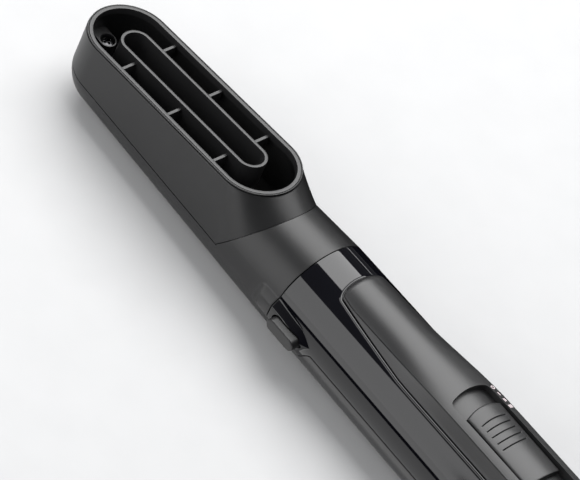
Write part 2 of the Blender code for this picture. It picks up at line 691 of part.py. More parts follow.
def heating_coil(mat):
    x0, x1 = HEATER_X
    return helix_tube("heating_coil", (x0 + 6.0, 0.0, CORE_Z), "X", COIL_RADIUS, x1 - x0 - 20.0,
                      COIL_TURNS, 0.6, mat, 16, 5)


def heater_clip(mat):
    """Ring that holds the crossed plates in the sleeve."""
    x = HEATER_X[1] - 7.0
    r = HEATER_SLEEVE_RADIUS - 0.6 - GAP
    return turned("heater_clip", [(x, r), (x + 4.0, r), (x + 4.0, r - 2.0), (x, r - 2.0)], mat, CORE_Z, 28)


def thermostat(mat):
    return rod("thermostat", [(HEATER_X[1] + 0.5, 3.6), (HEATER_X[1] + 5.5, 3.6)], mat, CORE_Z + 5.0, 16)


def thermal_fuse(mat):
    return rod("thermal_fuse", [(HEATER_X[1] + 0.5, 1.0), (HEATER_X[1] + 1.5, 1.6), (HEATER_X[1] + 9.0, 1.6),
                                (HEATER_X[1] + 10.0, 1.0)], mat, CORE_Z - 6.0, 12)


def motor(mat):
    x0, x1 = MOTOR_X
    bevel = 0.8
    stations = [(x0 - 2.0, 4.0), (x0, 4.01), (x0 + 0.01, MOTOR_RADIUS - bevel), (x0 + bevel, MOTOR_RADIUS),
                (x1 - bevel, MOTOR_RADIUS), (x1, MOTOR_RADIUS - bevel)]
    return rod("motor", stations, mat, CORE_Z, 28)


def fan_duct(mat):
    """Duct round motor and fan: an outer tube, a motor sleeve and four stator vanes."""
    x0, x1 = MOTOR_X[0] + 4.0, FAN_X[1] + 2.0
    outer = FAN_RADIUS + GAP + 1.8
    inner = outer - 1.4
    duct = turned("fan_duct", [(x0, outer), (x1, outer), (x1, inner), (x0, inner)], mat)
    sleeve_x = (MOTOR_X[0] + 6.0, MOTOR_X[1] - 2.0)
    r = MOTOR_RADIUS + GAP
    sleeve = turned("motor_sleeve", [(sleeve_x[0], r + 1.2), (sleeve_x[1], r + 1.2), (sleeve_x[1], r),
                                     (sleeve_x[0], r)], None, CORE_Z, 28)
    vanes = []
    for a, b in ((1, 0), (-1, 0), (0, 1), (0, -1)):
        low, high = r + 0.6, outer - 0.7
        ys = sorted((a * low, a * high)) if a else (-0.6, 0.6)
        zs = sorted((b * low, b * high)) if b else (-0.6, 0.6)
        vanes.append(block("vane", (sleeve_x[0] + 2.0, ys[0], CORE_Z + zs[0]),
                           (sleeve_x[1] - 2.0, ys[1], CORE_Z + zs[1])))
    combine(duct, merge("stator_vanes", vanes), "UNION")
    return combine(duct, sleeve, "UNION")


def fan(mat):
    """Hub with pitched blades on the motor's shaft."""
    x0, x1 = FAN_X
    stations = [(x0 - 3.0, 1.2), (x0, 1.2), (x0 + 0.01, 5.6), (x1 - 2.0, 5.6), (x1, 3.2)]
    hub = rod("fan", stations, mat, CORE_Z, 18)
    blades = []
    for k in range(FAN_BLADES):
        turn = Matrix.Rotation(2.0 * math.pi * k / FAN_BLADES, 3, "X")
        rows = []
        for radius, twist in ((4.6, 0.55), (FAN_RADIUS - 0.4, 0.85)):
            reach = 0.5 * (x1 - x0 - 3.0)
            corners = [(-reach, -0.45), (reach, -0.45), (reach, 0.45), (-reach, 0.45)]
            row = []
            for along, thick in corners:
                side = along * math.tan(twist * 0.6) + thick
                p = turn @ Vector((0.0, side, radius))
                row.append((0.5 * (x0 + x1) - 0.5 + along, p.y, CORE_Z + p.z))
            rows.append(row)
        blades.append(solid_loft("blade", rows, None))
    return combine(hub, merge("fan_blades", blades), "UNION")


# --- electrics ---------------------------------------------------------------------------------
def switch_body(mat):
    return block("switch_body", (88.0, -4.5, 37.4 - 8.0), (106.0, 4.5, 32.0), mat)


def control_board(mat):
    return block("control_board", (86.5, -9.0, 27.4), (111.0, 9.0, 29.0), mat)


# --- tail --------------------------------------------------------------------------------------
def tail_axis():
    return handle_axis(TAIL_END)


def intake_cap(mat):
    """Slotted cap over the air intake, round the cord gland."""
    x0, x1 = CAP_X
    z = tail_axis()
    profile = [(x0 - 6.0, 15.2), (x0, 15.2), (x0, 17.5), (x0 + 3.0, 17.2), (x1 - 4.0, 12.6), (x1, 10.6),
               (x1, GLAND_RADIUS + GAP), (x1 - 2.0, GLAND_RADIUS + GAP), (x1 - 5.0, 10.2),
               (x0 + 2.0, 13.6), (x0 - 6.0, 13.6)]
    cap = turned("intake_cap", profile, mat, z, 40)
    slots = []
    for k in range(10):
        angle = 2.0 * math.pi * k / 10
        slot = block("slot", (x0 + 4.5, -1.2, 8.0), (x1 - 5.5, 1.2, 20.0))
        slot.data.transform(Matrix.Rotation(angle, 4, "X"))
        slot.data.transform(Matrix.Translation((0.0, 0.0, z * MM)))
        slots.append(slot)
    return combine(cap, merge("intake_slots", slots), "DIFFERENCE")


def filter_disc(mat):
    """Filter in front of the intake cap."""
    x = CAP_X[0] - 8.2
    return turned("filter_disc", [(x, 14.6), (x + 1.2, 14.6), (x + 1.2, 4.2), (x, 4.2)], mat, tail_axis(), 32)


def cord_gland(mat):
    """Swivelling gland that the mains lead passes through."""
    x1 = CAP_X[1]
    profile = [(x1 - 7.0, 8.2), (x1 - 4.6, 8.2), (x1 - 4.6, GLAND_RADIUS), (x1 + 5.0, GLAND_RADIUS),
               (x1 + GLAND_REACH, 5.2), (x1 + GLAND_REACH, GLAND_BORE), (x1 - 7.0, GLAND_BORE)]
    return turned("cord_gland", profile, mat, tail_axis(), 28)


def gland_carrier(mat):
    """Hub on three spokes that the gland turns in, inside the intake cap."""
    x0, x1 = CAP_X[0] - 6.5, CAP_X[1] - 5.4
    carrier = turned("gland_carrier", [(x0, 9.7), (x1, 9.7), (x1, 8.5), (x0, 8.5)], mat, tail_axis(), 28)
    hoop = turned("carrier_hoop", [(x0, 13.3), (x0 + 2.0, 13.3), (x0 + 2.0, 12.2), (x0, 12.2)], None,
                  tail_axis(), 28)
    combine(carrier, hoop, "UNION")
    spokes = []
    for k in range(3):
        spoke = block("spoke", (x0 + 0.2, -1.2, 9.0), (x0 + 1.8, 1.2, 12.8))
        spoke.data.transform(Matrix.Rotation(2.0 * math.pi * k / 3, 4, "X"))
        spoke.data.transform(Matrix.Translation((0.0, 0.0, tail_axis() * MM)))
        spokes.append(spoke)
    return combine(carrier, merge("carrier_spokes", spokes), "UNION")


def case_screw(mat):
    """Screw that joins the shells from below, its head sunk into the lower shell."""
    return post("case_screw", CASE_SCREW_X, 0.0,
                [(CASE_HEAD_Z - 1.5, 2.5), (CASE_HEAD_Z, 2.5), (CASE_HEAD_Z + 0.01, 1.1),
                 (CASE_HEAD_Z + 11.0, 1.1)], mat)


def carry(name, pivot, objs, parent=None):
    """Parent objects to an empty at pivot, without moving them."""
    empty = bpy.data.objects.new(name, None)
    bpy.context.scene.collection.objects.link(empty)
    pivot = Vector(pivot) * MM
    empty.location = pivot
    if parent:
        empty.parent = parent
    for obj in objs:
        obj.parent = empty
        obj.location = -pivot
    return empty


def build():
    clear_scene()
    matte_black = plastic("matte_black", (0.022, 0.022, 0.024), 0.42)
    grip_black = plastic("grip_black", (0.028, 0.028, 0.030), 0.50)
    gloss_black = plastic("gloss_black", (0.006, 0.006, 0.008), 0.06)
    lower_black = plastic("lower_black", (0.024, 0.024, 0.026), 0.30)
    heat_grey = plastic("heat_grey", (0.05, 0.05, 0.055), 0.50)
    steel = plastic("steel", (0.62, 0.62, 0.64), 0.28, 1.0)
    mica = plastic("mica", (0.55, 0.45, 0.32), 0.45)
    nichrome = plastic("nichrome", (0.45, 0.43, 0.40), 0.35, 1.0)
    white_nylon = plastic("white_nylon", (0.75, 0.74, 0.70), 0.45)
    board_green = plastic("board_green", (0.02, 0.12, 0.05), 0.45)

    styler = carry("styler", (0.0, 0.0, 0.0), [
        handle_upper_shell(gloss_black), handle_lower_shell(lower_black), grip_panel(grip_black),
        front_spigot(heat_grey), spigot_grille(heat_grey), heater_sleeve(mica), heater_frame(mica),
        heating_coil(nichrome), heater_clip(mica), thermostat(steel), thermal_fuse(white_nylon),
        motor(steel), fan_duct(white_nylon), switch_body(lower_black), control_board(board_green),
        filter_disc(steel), gland_carrier(matte_black), case_screw(steel),
        latch_spring("left", -1, steel), latch_spring("right", 1, steel)])
    joint = (0.0, 0.0, JOINT_AXIS_Z)
    carry("nozzle_joint", joint, [nozzle_rear_shell(matte_black), nozzle_front_shell(matte_black),
                                  outlet_insert(matte_black), nozzle_screw(steel)], styler)
    carry("switch_track", (KNOB_START, 0.0, CORE_Z), [thumb_switch(grip_black)], styler)
    for side_name, side in (("left", -1), ("right", 1)):
        carry(f"button_axis_{side_name}", (BUTTON_X, side * BUTTON_TOP, JOINT_AXIS_Z),
              [release_button(side_name, side, matte_black)], styler)
    carry("fan_axis", (FAN_X[0], 0.0, CORE_Z), [fan(white_nylon)], styler)
    carry("cap_axis", (CAP_X[0], 0.0, tail_axis()), [intake_cap(matte_black)], styler)
    carry("gland_axis", (CAP_X[1], 0.0, tail_axis()), [cord_gland(matte_black)], styler)
    styler.location.x = -MIDDLE_X * MM


build()
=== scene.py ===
"""Looks of the hot-air styler: fine outer surfaces, materials, floor, light and camera.

Lengths are in millimetres in the design's own frame, in which X is measured from the joint plane
between nozzle and handle, towards the tail. place() turns a point into metres in the row frame.
"""
import math

import bmesh
import bpy
from mathutils import Matrix, Vector


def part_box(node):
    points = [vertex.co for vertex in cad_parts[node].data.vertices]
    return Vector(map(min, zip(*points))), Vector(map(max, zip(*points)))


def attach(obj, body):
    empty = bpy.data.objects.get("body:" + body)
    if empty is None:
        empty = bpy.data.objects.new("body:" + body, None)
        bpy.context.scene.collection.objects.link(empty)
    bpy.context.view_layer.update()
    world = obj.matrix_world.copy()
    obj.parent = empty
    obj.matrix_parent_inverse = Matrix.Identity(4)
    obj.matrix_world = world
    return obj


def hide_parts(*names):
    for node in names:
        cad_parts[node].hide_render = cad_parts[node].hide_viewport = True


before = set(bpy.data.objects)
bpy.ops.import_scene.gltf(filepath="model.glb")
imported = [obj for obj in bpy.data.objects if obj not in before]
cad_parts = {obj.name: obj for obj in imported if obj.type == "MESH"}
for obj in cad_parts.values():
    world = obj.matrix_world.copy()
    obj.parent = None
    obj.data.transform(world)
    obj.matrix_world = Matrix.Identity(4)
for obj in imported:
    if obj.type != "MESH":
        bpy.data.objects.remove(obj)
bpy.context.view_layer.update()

MM = 0.001
GAP = 0.3                       # clearance between neighbouring pieces
JOINT_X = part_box("handle_upper_shell")[0].x / MM - GAP / 2

# --- handle ---
JOINT_RADIUS = 21.0
REST_FLAT = 0.15
JOINT_AXIS_Z = JOINT_RADIUS - REST_FLAT
HANDLE_TAPER = 0.0093
HANDLE_WALL = 2.0
TAIL_START = 150.0
TAIL_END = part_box("handle_upper_shell")[1].x / MM - JOINT_X
TAIL_RADIUS = 17.6
SEAM_DROP = 4.0                 # degrees below horizontal of the seam between the shells
SEAM_DROP_FRONT = 25.0
SEAM_CURL = (15.0, 22.5)

# --- latch boss: a raised flat round the button, with sloping facets ---
BOSS_HEIGHT = 2.0
BOSS_FLAT = 6.8                 # degrees either side of horizontal
BOSS_FOOT = 15.5
BOSS_FLAT_CORNER_X = 14.8       # from here the lower edge of the flat runs up to its tail corner
BOSS_FOOT_CORNER_X = 15.4       # and the lower foot to its own
BOSS_FLAT_END = (16.9, 2.3)     # X and angle of the tail corner of the flat
BOSS_FOOT_END = (20.5, 3.0)     # X and angle of the tail corner of the foot
BOSS_UPPER_FOOT = (11.0, 13.0)  # the upper foot narrows to this angle at this X
BOSS_UPPER_CURL = 10.0          # X from which it curls down to the tail corner
FOOT_BEVEL = 0.16               # width of the cut along the upper foot
BOSS_FRONT = (-6.5, -9.8)       # X where flat and foot end on the nozzle
BUTTON_X = 9.75
BUTTON_Z = JOINT_AXIS_Z - 0.7
BUTTON_LENGTH = 14.2
BUTTON_HEIGHT = 5.0
BUTTON_TOP = 26.0
BUTTON_FLANGE = (16.6, 18.0)
BUTTON_GAP = 0.6
LATCH_FRONT_X = -12.0
LATCH_ARM = (4.0, 16.6, 17.8, 2.6, 0.3)     # end X, inner and outer side, half height, edge round
LATCH_HOOK = (-9.5, 17.0, 18.2, 2.5, 0.2)

# --- grip panel and switch ---
PANEL_START = 14.4
PANEL_NOSE = 3.0                # length of the rounded front
PANEL_END = 160.0
PANEL_TAIL = 14.0
PANEL_HALF = (25.5, 38.0)       # half the angle it covers, in front and behind
PANEL_WIDENING = 40.0           # length over which it widens
PANEL_EDGE = 0.45               # thickness at the outline
PANEL_TRENCH = (-0.4, 0.4, 0.8)  # reach inwards, outwards and down of the dark gap round the panel
PANEL_NOSE_THICK = 2.5
PANEL_THICK = 4.0
PANEL_CROWN = (1.6, -0.5)       # drop from the middle of the top to the crease, in front and behind
PANEL_CROWN_X = (35.0, 80.0)    # where the crown turns from the one into the other
PANEL_FRONT_ROUND = 1.5
PANEL_RISE = (20.0, 90.0)
PANEL_FALL = (PANEL_END - 42.0, PANEL_END + 4.0)
PANEL_CREASE = 27.0             # degrees from the top to the crease of the side band
PANEL_GROOVE = 0.3              # depth of the fine groove along the crease
RECESS_START = 71.2
RECESS_END = 122.0
RECESS_MIDDLE_X = 90.0          # where the floor's radius and axis are taken
RECESS_HALF_WIDTH = 9.0
RECESS_BOW = 1.7
RECESS_FLOOR = 1.0
KNOB_START = 79.2
KNOB_END = 113.0
KNOB_HALF_WIDTH = 7.9
KNOB_THICK = 2.4
KNOB_BOW = 1.4                  # how far the corners of the front lie behind its middle
KNOB_FRONT_ROUND = 0.9
KNOB_GROOVES = (85.4, 88.35, 91.3, 94.3, 97.2)
KNOB_GROOVE_REACH = 5.6
STEM_X = (92.0, 98.0)
STEM_HALF_WIDTH = 2.2
STEM_SLOT_X = (84.5, 102.5)
MARK_X = (74.3, 77.5, 80.6, 83.7)

# --- nozzle ---
NOZZLE_TAPER = 0.0424
NOZZLE_SLOPE = 0.0353
NOZZLE_WALL = 1.8
TIP_X = -115.0
CORNER_X = -33.4
CREASE_DROP = 4.0
COLLAR_CREASE_RUN = 0.654
RIM_NEAR_X = -43.7
RIM_FAR_X = -114.8
RIM_NEAR_RADIUS = 16.4
RIM_FAR_RADIUS = 15.75
RIM_Z = 42.9
RIM_SLOPE = 0.1019
RIM_WALL = 2.0
LINER = (0.8, 2.3)              # how far the inner rim lies inside the outline: outer and inner edge
LINER_DEPTH = 3.0
RIM_GROOVE = (0.95, 0.55)       # depths below the rim of the fine groove round the outside
INSERT_NEAR_X = -47.4
INSERT_FAR_X = -111.3
INSERT_RADIUS = 6.0
INSERT_WALL = 1.3
INSERT_DEPTH = 11.0
RIB_X = (-104.3, -78.7, -53.1)
RIB_THICK = 1.2
RIB_SETBACK = 2.0
RIB_DEPTH = 7.0
SCREW_X = -123.4
SCREW_TOP_Z = 24.2
SCREW_BOSS_RADIUS = 3.4

# --- tail ---
CAP_X = (190.3, 212.0)
CAP_SLOTS = 10
GLAND_RADIUS = 6.4
GLAND_BORE = 3.6
GLAND_REACH = 8.0
CASE_SCREW_X = 168.0

# --- camera, in metres and degrees; azimuth runs from -Y towards +X ---
AZIMUTH, ELEVATION, ROLL = 30.4925, 46.6181, 25.7991
CAMERA_DISTANCE = 1.7132
CAMERA_TARGET = Vector((-0.06576, 0.00530, 0.0210))
CAMERA_LENS = 299.98

ROUND = ((0.0, 1.0), (0.293, 0.293), (1.0, 0.0))   # quarter round: distance from edge, depth


# --- shape rules ---
def place(point):
    return Vector((point[0] + JOINT_X, point[1], point[2])) * MM


def share(value, low, high):
    """How far value has come from low to high, held between 0 and 1."""
    return min(max((value - low) / (high - low), 0.0), 1.0)


def smooth(value, low, high):
    t = share(value, low, high)
    return t * t * (3.0 - 2.0 * t)


def mix(a, b, t):
    return a + (b - a) * t


def between(p, q, t):
    return tuple(mix(a, b, t) for a, b in zip(p, q))


def spread(low, high, count):
    """count + 1 evenly spaced values from low to high."""
    return [mix(low, high, k / count) for k in range(count + 1)]


def handle_radius(x):
    grown = JOINT_RADIUS + HANDLE_TAPER * min(x, TAIL_START)
    return grown + (TAIL_RADIUS - grown) * smooth(x, TAIL_START, TAIL_END + 6.0)


def handle_axis(x):
    return JOINT_AXIS_Z + HANDLE_TAPER * min(max(x, 0.0), TAIL_START)


def nozzle_radius(x):
    return JOINT_RADIUS + NOZZLE_TAPER * x


def nozzle_axis(x):
    return JOINT_AXIS_Z + NOZZLE_SLOPE * x


def rim_z(x):
    return RIM_Z + RIM_SLOPE * (x - RIM_NEAR_X)


def crease_z(x):
    return nozzle_axis(x) - nozzle_radius(x) * math.sin(math.radians(CREASE_DROP))


def seam_angle(x):
    return SEAM_DROP_FRONT + (SEAM_DROP - SEAM_DROP_FRONT) * smooth(x, *SEAM_CURL)


def handle_point(x, degrees, lift=0.0):
    turn = math.radians(degrees)
    radius = handle_radius(x) + lift
    return (x, radius * math.cos(turn), max(handle_axis(x) + radius * math.sin(turn), 0.0))


# --- mesh building ---
class Skin:
    """Faces on shared points; each point may have a partner on the inner side of a wall."""

    def __init__(self):
        self.known, self.outer, self.inner, self.faces = {}, [], [], []

    def point(self, outer, inner=None):
        key = tuple(round(c, 4) for c in outer)
        if key not in self.known:
            self.known[key] = len(self.outer)
            self.outer.append(outer)
            self.inner.append(inner)
        return self.known[key]

    def face(self, corners):
        unique = [c for k, c in enumerate(corners) if c != corners[k - 1]]
        if len(unique) > 2:
            self.faces.append(tuple(unique))

    def grid(self, rows, closed=False):
        """Quads through rows of points, or of (outer, inner) pairs; closed joins each row's ends."""
        numbers = [[self.point(*p) if isinstance(p[0], tuple) else self.point(p) for p in row]
                   for row in rows]
        count = len(numbers[0])
        for a, b in zip(numbers, numbers[1:]):
            for i in range(count if closed else count - 1):
                j = (i + 1) % count
                self.face((a[i], a[j], b[j], b[i]))
        return numbers

    def wall(self):
        """Add the inner side and the edges that join it to the outer side."""
        total, used = len(self.outer), {}
        for face in self.faces:
            for a, b in zip(face, face[1:] + face[:1]):
                key = (min(a, b), max(a, b))
                used[key] = used.get(key, 0) + 1
        rims = [key for key, times in used.items() if times == 1]
        self.faces += [tuple(total + c for c in reversed(face)) for face in self.faces]
        self.faces += [(a, b, total + b, total + a) for a, b in rims]
        self.outer += self.inner

    def build(self, name, material, sharp=32.0):
        bm = bmesh.new()
        verts = [bm.verts.new(place(p)) for p in self.outer]
        for face in self.faces:
            bm.faces.new([verts[c] for c in face])
        return finish_mesh(name, bm, material, sharp)


def finish_mesh(name, bm, material, sharp=32.0):
    loose = [v for v in bm.verts if not v.link_faces]
    bmesh.ops.delete(bm, geom=loose, context="VERTS")
    bmesh.ops.recalc_face_normals(bm, faces=bm.faces)
    mesh = bpy.data.meshes.new(name)
    bm.to_mesh(mesh)
    bm.free()
    obj = bpy.data.objects.new(name, mesh)
    bpy.context.scene.collection.objects.link(obj)
    if material:
        mesh.materials.append(material)
    shade(obj, sharp)
    return obj


def shade(obj, sharp):
    obj.data.shade_smooth()
    obj.data.set_sharp_from_angle(angle=math.radians(sharp))


def even_normals(obj):
    """Let the large faces set the shading, so that narrow edge rounds stay crisp."""
    modifier = obj.modifiers.new("even_normals", "WEIGHTED_NORMAL")
    modifier.weight = 60
    modifier.keep_sharp = True
    return obj


def loft(name, rows, material=None, sharp=32.0):
    """Closed body through rings of points, capped at both ends."""
    skin = Skin()
    numbers = skin.grid(rows, closed=True)
    for row in (numbers[0], numbers[-1]):
        unique = list(dict.fromkeys(row))
        if len(unique) > 2:
            skin.faces.append(tuple(unique))
    return skin.build(name, material, sharp)


def hoop(name, rows, material=None, sharp=32.0):
    """Closed body through rings of points whose last ring joins the first again."""
    skin = Skin()
    skin.grid(list(rows) + [rows[0]], closed=True)
    return skin.build(name, material, sharp)


def turns(count):
    """count angles all the way round, in radians."""
    return [2.0 * math.pi * k / count for k in range(count)]


def bow(x, radius, start, end, steps):
    """Arc about (x, 0) in plan; start and end are in quarter turns."""
    return [(x + radius * math.cos(a), radius * math.sin(a))
            for a in spread(start * math.pi / 2, end * math.pi / 2, steps)]


def ring(x, radius, axis_z, segments):
    """Circle across X."""
    return [(x, radius * math.cos(a), axis_z + radius * math.sin(a)) for a in turns(segments)]


def rounded(outline, radius, steps=3):
    """A closed 2D outline whose corners are rounded; radius is one value or one per corner."""
    out = []
    count = len(outline)
    for k, corner in enumerate(outline):
        here = Vector(corner)
        before, after = Vector(outline[k - 1]) - here, Vector(outline[(k + 1) % count]) - here
        want = radius[k] if isinstance(radius, (list, tuple)) else radius
        cut = min(want, 0.45 * before.length, 0.45 * after.length)
        if cut <= 0.0 or before.angle(after) > math.radians(172.0):
            out.append(corner)
            continue
        start, end = here + before.normalized() * cut, here + after.normalized() * cut
        for s in range(steps + 1):
            t = s / steps
            out.append(tuple(start * (1 - t) ** 2 + here * (2 * t * (1 - t)) + end * t ** 2))
    return out


def turned(name, profile, material, axis_z, segments=96, sharp=40.0):
    """Ring-shaped body about X from a closed outline of (x, radius)."""
    return hoop(name, [ring(x, r, axis_z, segments) for x, r in profile], material, sharp)


def box_body(name, low, high, edge=0.0, material=None):
    """Block whose upright edges and top edges are rounded by edge."""
    plan = rounded([(low[0], low[1]), (high[0], low[1]), (high[0], high[1]), (low[0], high[1])], edge)
    centre = (0.5 * (low[0] + high[0]), 0.5 * (low[1] + high[1]))
    half = (0.5 * (high[0] - low[0]), 0.5 * (high[1] - low[1]))
    rows = [[(x, y, low[2]) for x, y in plan]]
    for away, depth in reversed(ROUND):
        shrink = [1.0 - depth * edge / h for h in half]
        rows.append([(centre[0] + (x - centre[0]) * shrink[0], centre[1] + (y - centre[1]) * shrink[1],
                      high[2] - away * edge) for x, y in plan])
    return loft(name, rows, material)


def carve(obj, tool, sharp=32.0, operation="DIFFERENCE"):
    """Apply a boolean with tool, which is used up."""
    modifier = obj.modifiers.new("carve", "BOOLEAN")
    modifier.operation = operation
    modifier.solver = "EXACT"
    modifier.object = tool
    bpy.context.view_layer.update()
    depsgraph = bpy.context.evaluated_depsgraph_get()
    carved = bpy.data.meshes.new_from_object(obj.evaluated_get(depsgraph))
    obj.modifiers.clear()
    obj.data = carved
    bpy.data.objects.remove(tool, do_unlink=True)
    shade(obj, sharp)
    return obj


# --- materials ---
MATERIALS = {}                  # by the name given to moulded()


def moulded(name, dark, light, roughness, grain=0.0, grain_size=0.35, gloss_spread=0.04,
            metallic=0.0, specular=0.5):
    """Procedural surface: colour drifts between two tones, with fine grain and uneven gloss.

    grain is the relief in millimetres and grain_size the size of its cells in millimetres.
    """
    mat = bpy.data.materials.new(name)
    mat.use_nodes = True
    nodes, links = mat.node_tree.nodes, mat.node_tree.links
    shader = nodes["Principled BSDF"]
    shader.inputs["Metallic"].default_value = metallic
    shader.inputs["Specular IOR Level"].default_value = specular
    coordinates = nodes.new("ShaderNodeTexCoord")
    clouds = nodes.new("ShaderNodeTexNoise")
    clouds.inputs["Scale"].default_value = 60.0
    clouds.inputs["Detail"].default_value = 3.0
    links.new(coordinates.outputs["Object"], clouds.inputs["Vector"])
    tones = nodes.new("ShaderNodeValToRGB")
    for element, position, tone in zip(tones.color_ramp.elements, (0.3, 0.7), (dark, light)):
        element.position, element.color = position, (*tone, 1.0)
    links.new(clouds.outputs["Fac"], tones.inputs["Fac"])
    links.new(tones.outputs["Color"], shader.inputs["Base Color"])

    cells = nodes.new("ShaderNodeTexNoise")
    cells.inputs["Scale"].default_value = 1.0 / (grain_size * MM)
    cells.inputs["Detail"].default_value = 2.0
    links.new(coordinates.outputs["Object"], cells.inputs["Vector"])
    gloss = nodes.new("ShaderNodeMapRange")
    gloss.inputs["To Min"].default_value = max(roughness - gloss_spread, 0.01)
    gloss.inputs["To Max"].default_value = roughness + gloss_spread
    links.new(cells.outputs["Fac"], gloss.inputs["Value"])
    links.new(gloss.outputs["Result"], shader.inputs["Roughness"])
    if grain:
        bump = nodes.new("ShaderNodeBump")
        bump.inputs["Strength"].default_value = 1.0
        bump.inputs["Distance"].default_value = grain * MM
        links.new(cells.outputs["Fac"], bump.inputs["Height"])
        links.new(bump.outputs["Normal"], shader.inputs["Normal"])
    MATERIALS[name] = mat
    return mat


def glowing(name, strength):
    """Surface that gives off light of this strength; at 0 it is just black."""
    mat = moulded(name, (0.001, 0.001, 0.001), (0.002, 0.002, 0.002), 0.9, specular=0.0)
    shader = mat.node_tree.nodes["Principled BSDF"]
    shader.inputs["Emission Color"].default_value = (1.0, 1.0, 1.0, 1.0)
    shader.inputs["Emission Strength"].default_value = strength


def black(name, dark, light, roughness, grain):
    """Black plastic, a little bluish; dark and light are its two tones."""
    moulded(name, (dark, dark, dark + 0.0005), (light, light, light + 0.0005), roughness, grain)


def make_materials():
    moulded("matte_black", (0.005, 0.005, 0.0053), (0.007, 0.007, 0.0073), 0.40, 0.003)
    black("satin_black", 0.012, 0.015, 0.34, 0.002)
    black("grip_black", 0.013, 0.017, 0.36, 0.004)
    moulded("gloss_black", (0.0016, 0.0016, 0.0026), (0.0022, 0.0022, 0.0034), 0.045, gloss_spread=0.01)
    # painted dark reflection for the boss facets: the gloss shell's black with almost no specular, so it
    # stays dark under any light
    moulded("painted_dark_reflection", (0.0016, 0.0016, 0.0026), (0.0022, 0.0022, 0.0034), 0.3, specular=0.05)
    black("lower_black", 0.012, 0.015, 0.30, 0.002)
    moulded("heat_grey", (0.040, 0.040, 0.044), (0.055, 0.055, 0.06), 0.5, 0.008, 0.5)
    moulded("steel", (0.50, 0.50, 0.52), (0.64, 0.64, 0.66), 0.27, 0.002, 0.3, 0.06, 1.0)
    moulded("screw_black", (0.05, 0.05, 0.052), (0.08, 0.08, 0.083), 0.2, 0.001, 0.3, 0.05, 1.0)
    moulded("mica", (0.42, 0.33, 0.22), (0.60, 0.50, 0.36), 0.42, 0.01, 0.8, 0.08)
    moulded("nichrome", (0.36, 0.34, 0.32), (0.50, 0.47, 0.44), 0.36, 0.002, 0.2, 0.06, 1.0)
    moulded("white_nylon", (0.70, 0.69, 0.64), (0.80, 0.79, 0.75), 0.42, 0.004)
    moulded("board_green", (0.012, 0.09, 0.035), (0.03, 0.15, 0.065), 0.4, 0.01, 0.6)
    moulded("mark_pale", (0.50, 0.42, 0.43), (0.62, 0.54, 0.55), 0.5, 0.002)
    moulded("floor", (0.420, 0.420, 0.421), (0.430, 0.430, 0.431), 0.62, gloss_spread=0.03, specular=0.0)
    glowing("sheet", 2.3)
    glowing("dim_sheet", 1.1)
    glowing("flag", 0.0)


def wear(obj, slot, body, *nodes):
    """Let a new piece ride on a body, in place of CAD nodes; slot is not used."""
    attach(obj, body)
    if nodes:
        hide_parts(*nodes)
    return obj


# --- nozzle ---
def nozzle_boss(x, degrees):
    """Height of the latch boss on the nozzle's collar."""
    off = abs(degrees) if abs(degrees) < 90.0 else 180.0 - abs(degrees)
    across = max(off - BOSS_FLAT, 0.0) / (BOSS_FOOT - BOSS_FLAT)
    along = max(BOSS_FRONT[0] - x, 0.0) / (BOSS_FRONT[0] - BOSS_FRONT[1])
    away = math.hypot(across, along)
    return BOSS_HEIGHT * max(1.0 - away, 0.0)


def nozzle_pair(x, degrees, lift=0.0):
    """Outer and inner point of the nozzle's tube; degrees run from -180 to 180."""
    turn, pair = math.radians(degrees), []
    for grow in (nozzle_boss(x, degrees) + lift, -NOZZLE_WALL):
        radius = nozzle_radius(x) + grow
        floor = 0.0 if grow >= lift else NOZZLE_WALL
        pair.append((x, radius * math.cos(turn), max(nozzle_axis(x) + radius * math.sin(turn), floor)))
    return tuple(pair)


def collar_x(front, lean, degrees):
    """X on a leaning plane that is upright below the side crease."""
    x = front
    for _ in range(10):
        z = nozzle_axis(x) + nozzle_radius(x) * math.sin(math.radians(degrees))
        x = front + lean * max(z - crease_z(CORNER_X), 0.0)
    return x


def rear_shell():
    """Round tube under the creases with its round tip, and the collar up to the joint."""
    fine = spread(CREASE_DROP, 17.0, 10)
    lower_half = [-a for a in fine + spread(17.0, 90.0, 17)[1:]]
    lower = lower_half + [-180.0 - a for a in reversed(lower_half[:-1])]
    upper_half = [-a for a in reversed(spread(-17.0, CREASE_DROP, 16))] + spread(17.0, 90.0, 17)[1:]
    upper = upper_half + [180.0 - a for a in reversed(upper_half[:-1])]
    skin = Skin()

    tube = [[nozzle_pair(x, a) for a in lower] for x in spread(TIP_X, CORNER_X, 18)]
    skin.grid(tube)
    centre = (TIP_X, 0.0, nozzle_axis(TIP_X))
    meridians = []
    for k in range(33):
        around = math.radians(90.0 + 180.0 * k / 32)
        row = []
        for a in lower_half:
            polar, pair = math.radians(-a), []
            for radius in (nozzle_radius(TIP_X), nozzle_radius(TIP_X) - NOZZLE_WALL):
                reach = radius * math.cos(polar)
                pair.append((centre[0] + reach * math.cos(around), reach * math.sin(around),
                             centre[2] - radius * math.sin(polar)))
            row.append(tuple(pair))
        meridians.append(row)
    skin.grid(meridians)

    steps = [0.0, 0.02] + spread(0.06, 0.66, 10) + spread(0.68, 0.985, 22)
    edge = 0.18
    end = -GAP / 2
    for arc in (lower, upper):
        rows = []
        for t in steps:
            t /= steps[-1]
            front, lean = mix(CORNER_X, end - edge, t), COLLAR_CREASE_RUN * (1.0 - t)
            rows.append([nozzle_pair(collar_x(front, lean, a), a) for a in arc])
        for away, depth in reversed(ROUND[:-1]):
            rows.append([nozzle_pair(end - away * edge, a, -depth * edge) for a in arc])
        skin.grid(rows)
    skin.wall()
    return even_normals(skin.build("rear_shell", MATERIALS["matte_black"], 38.0))


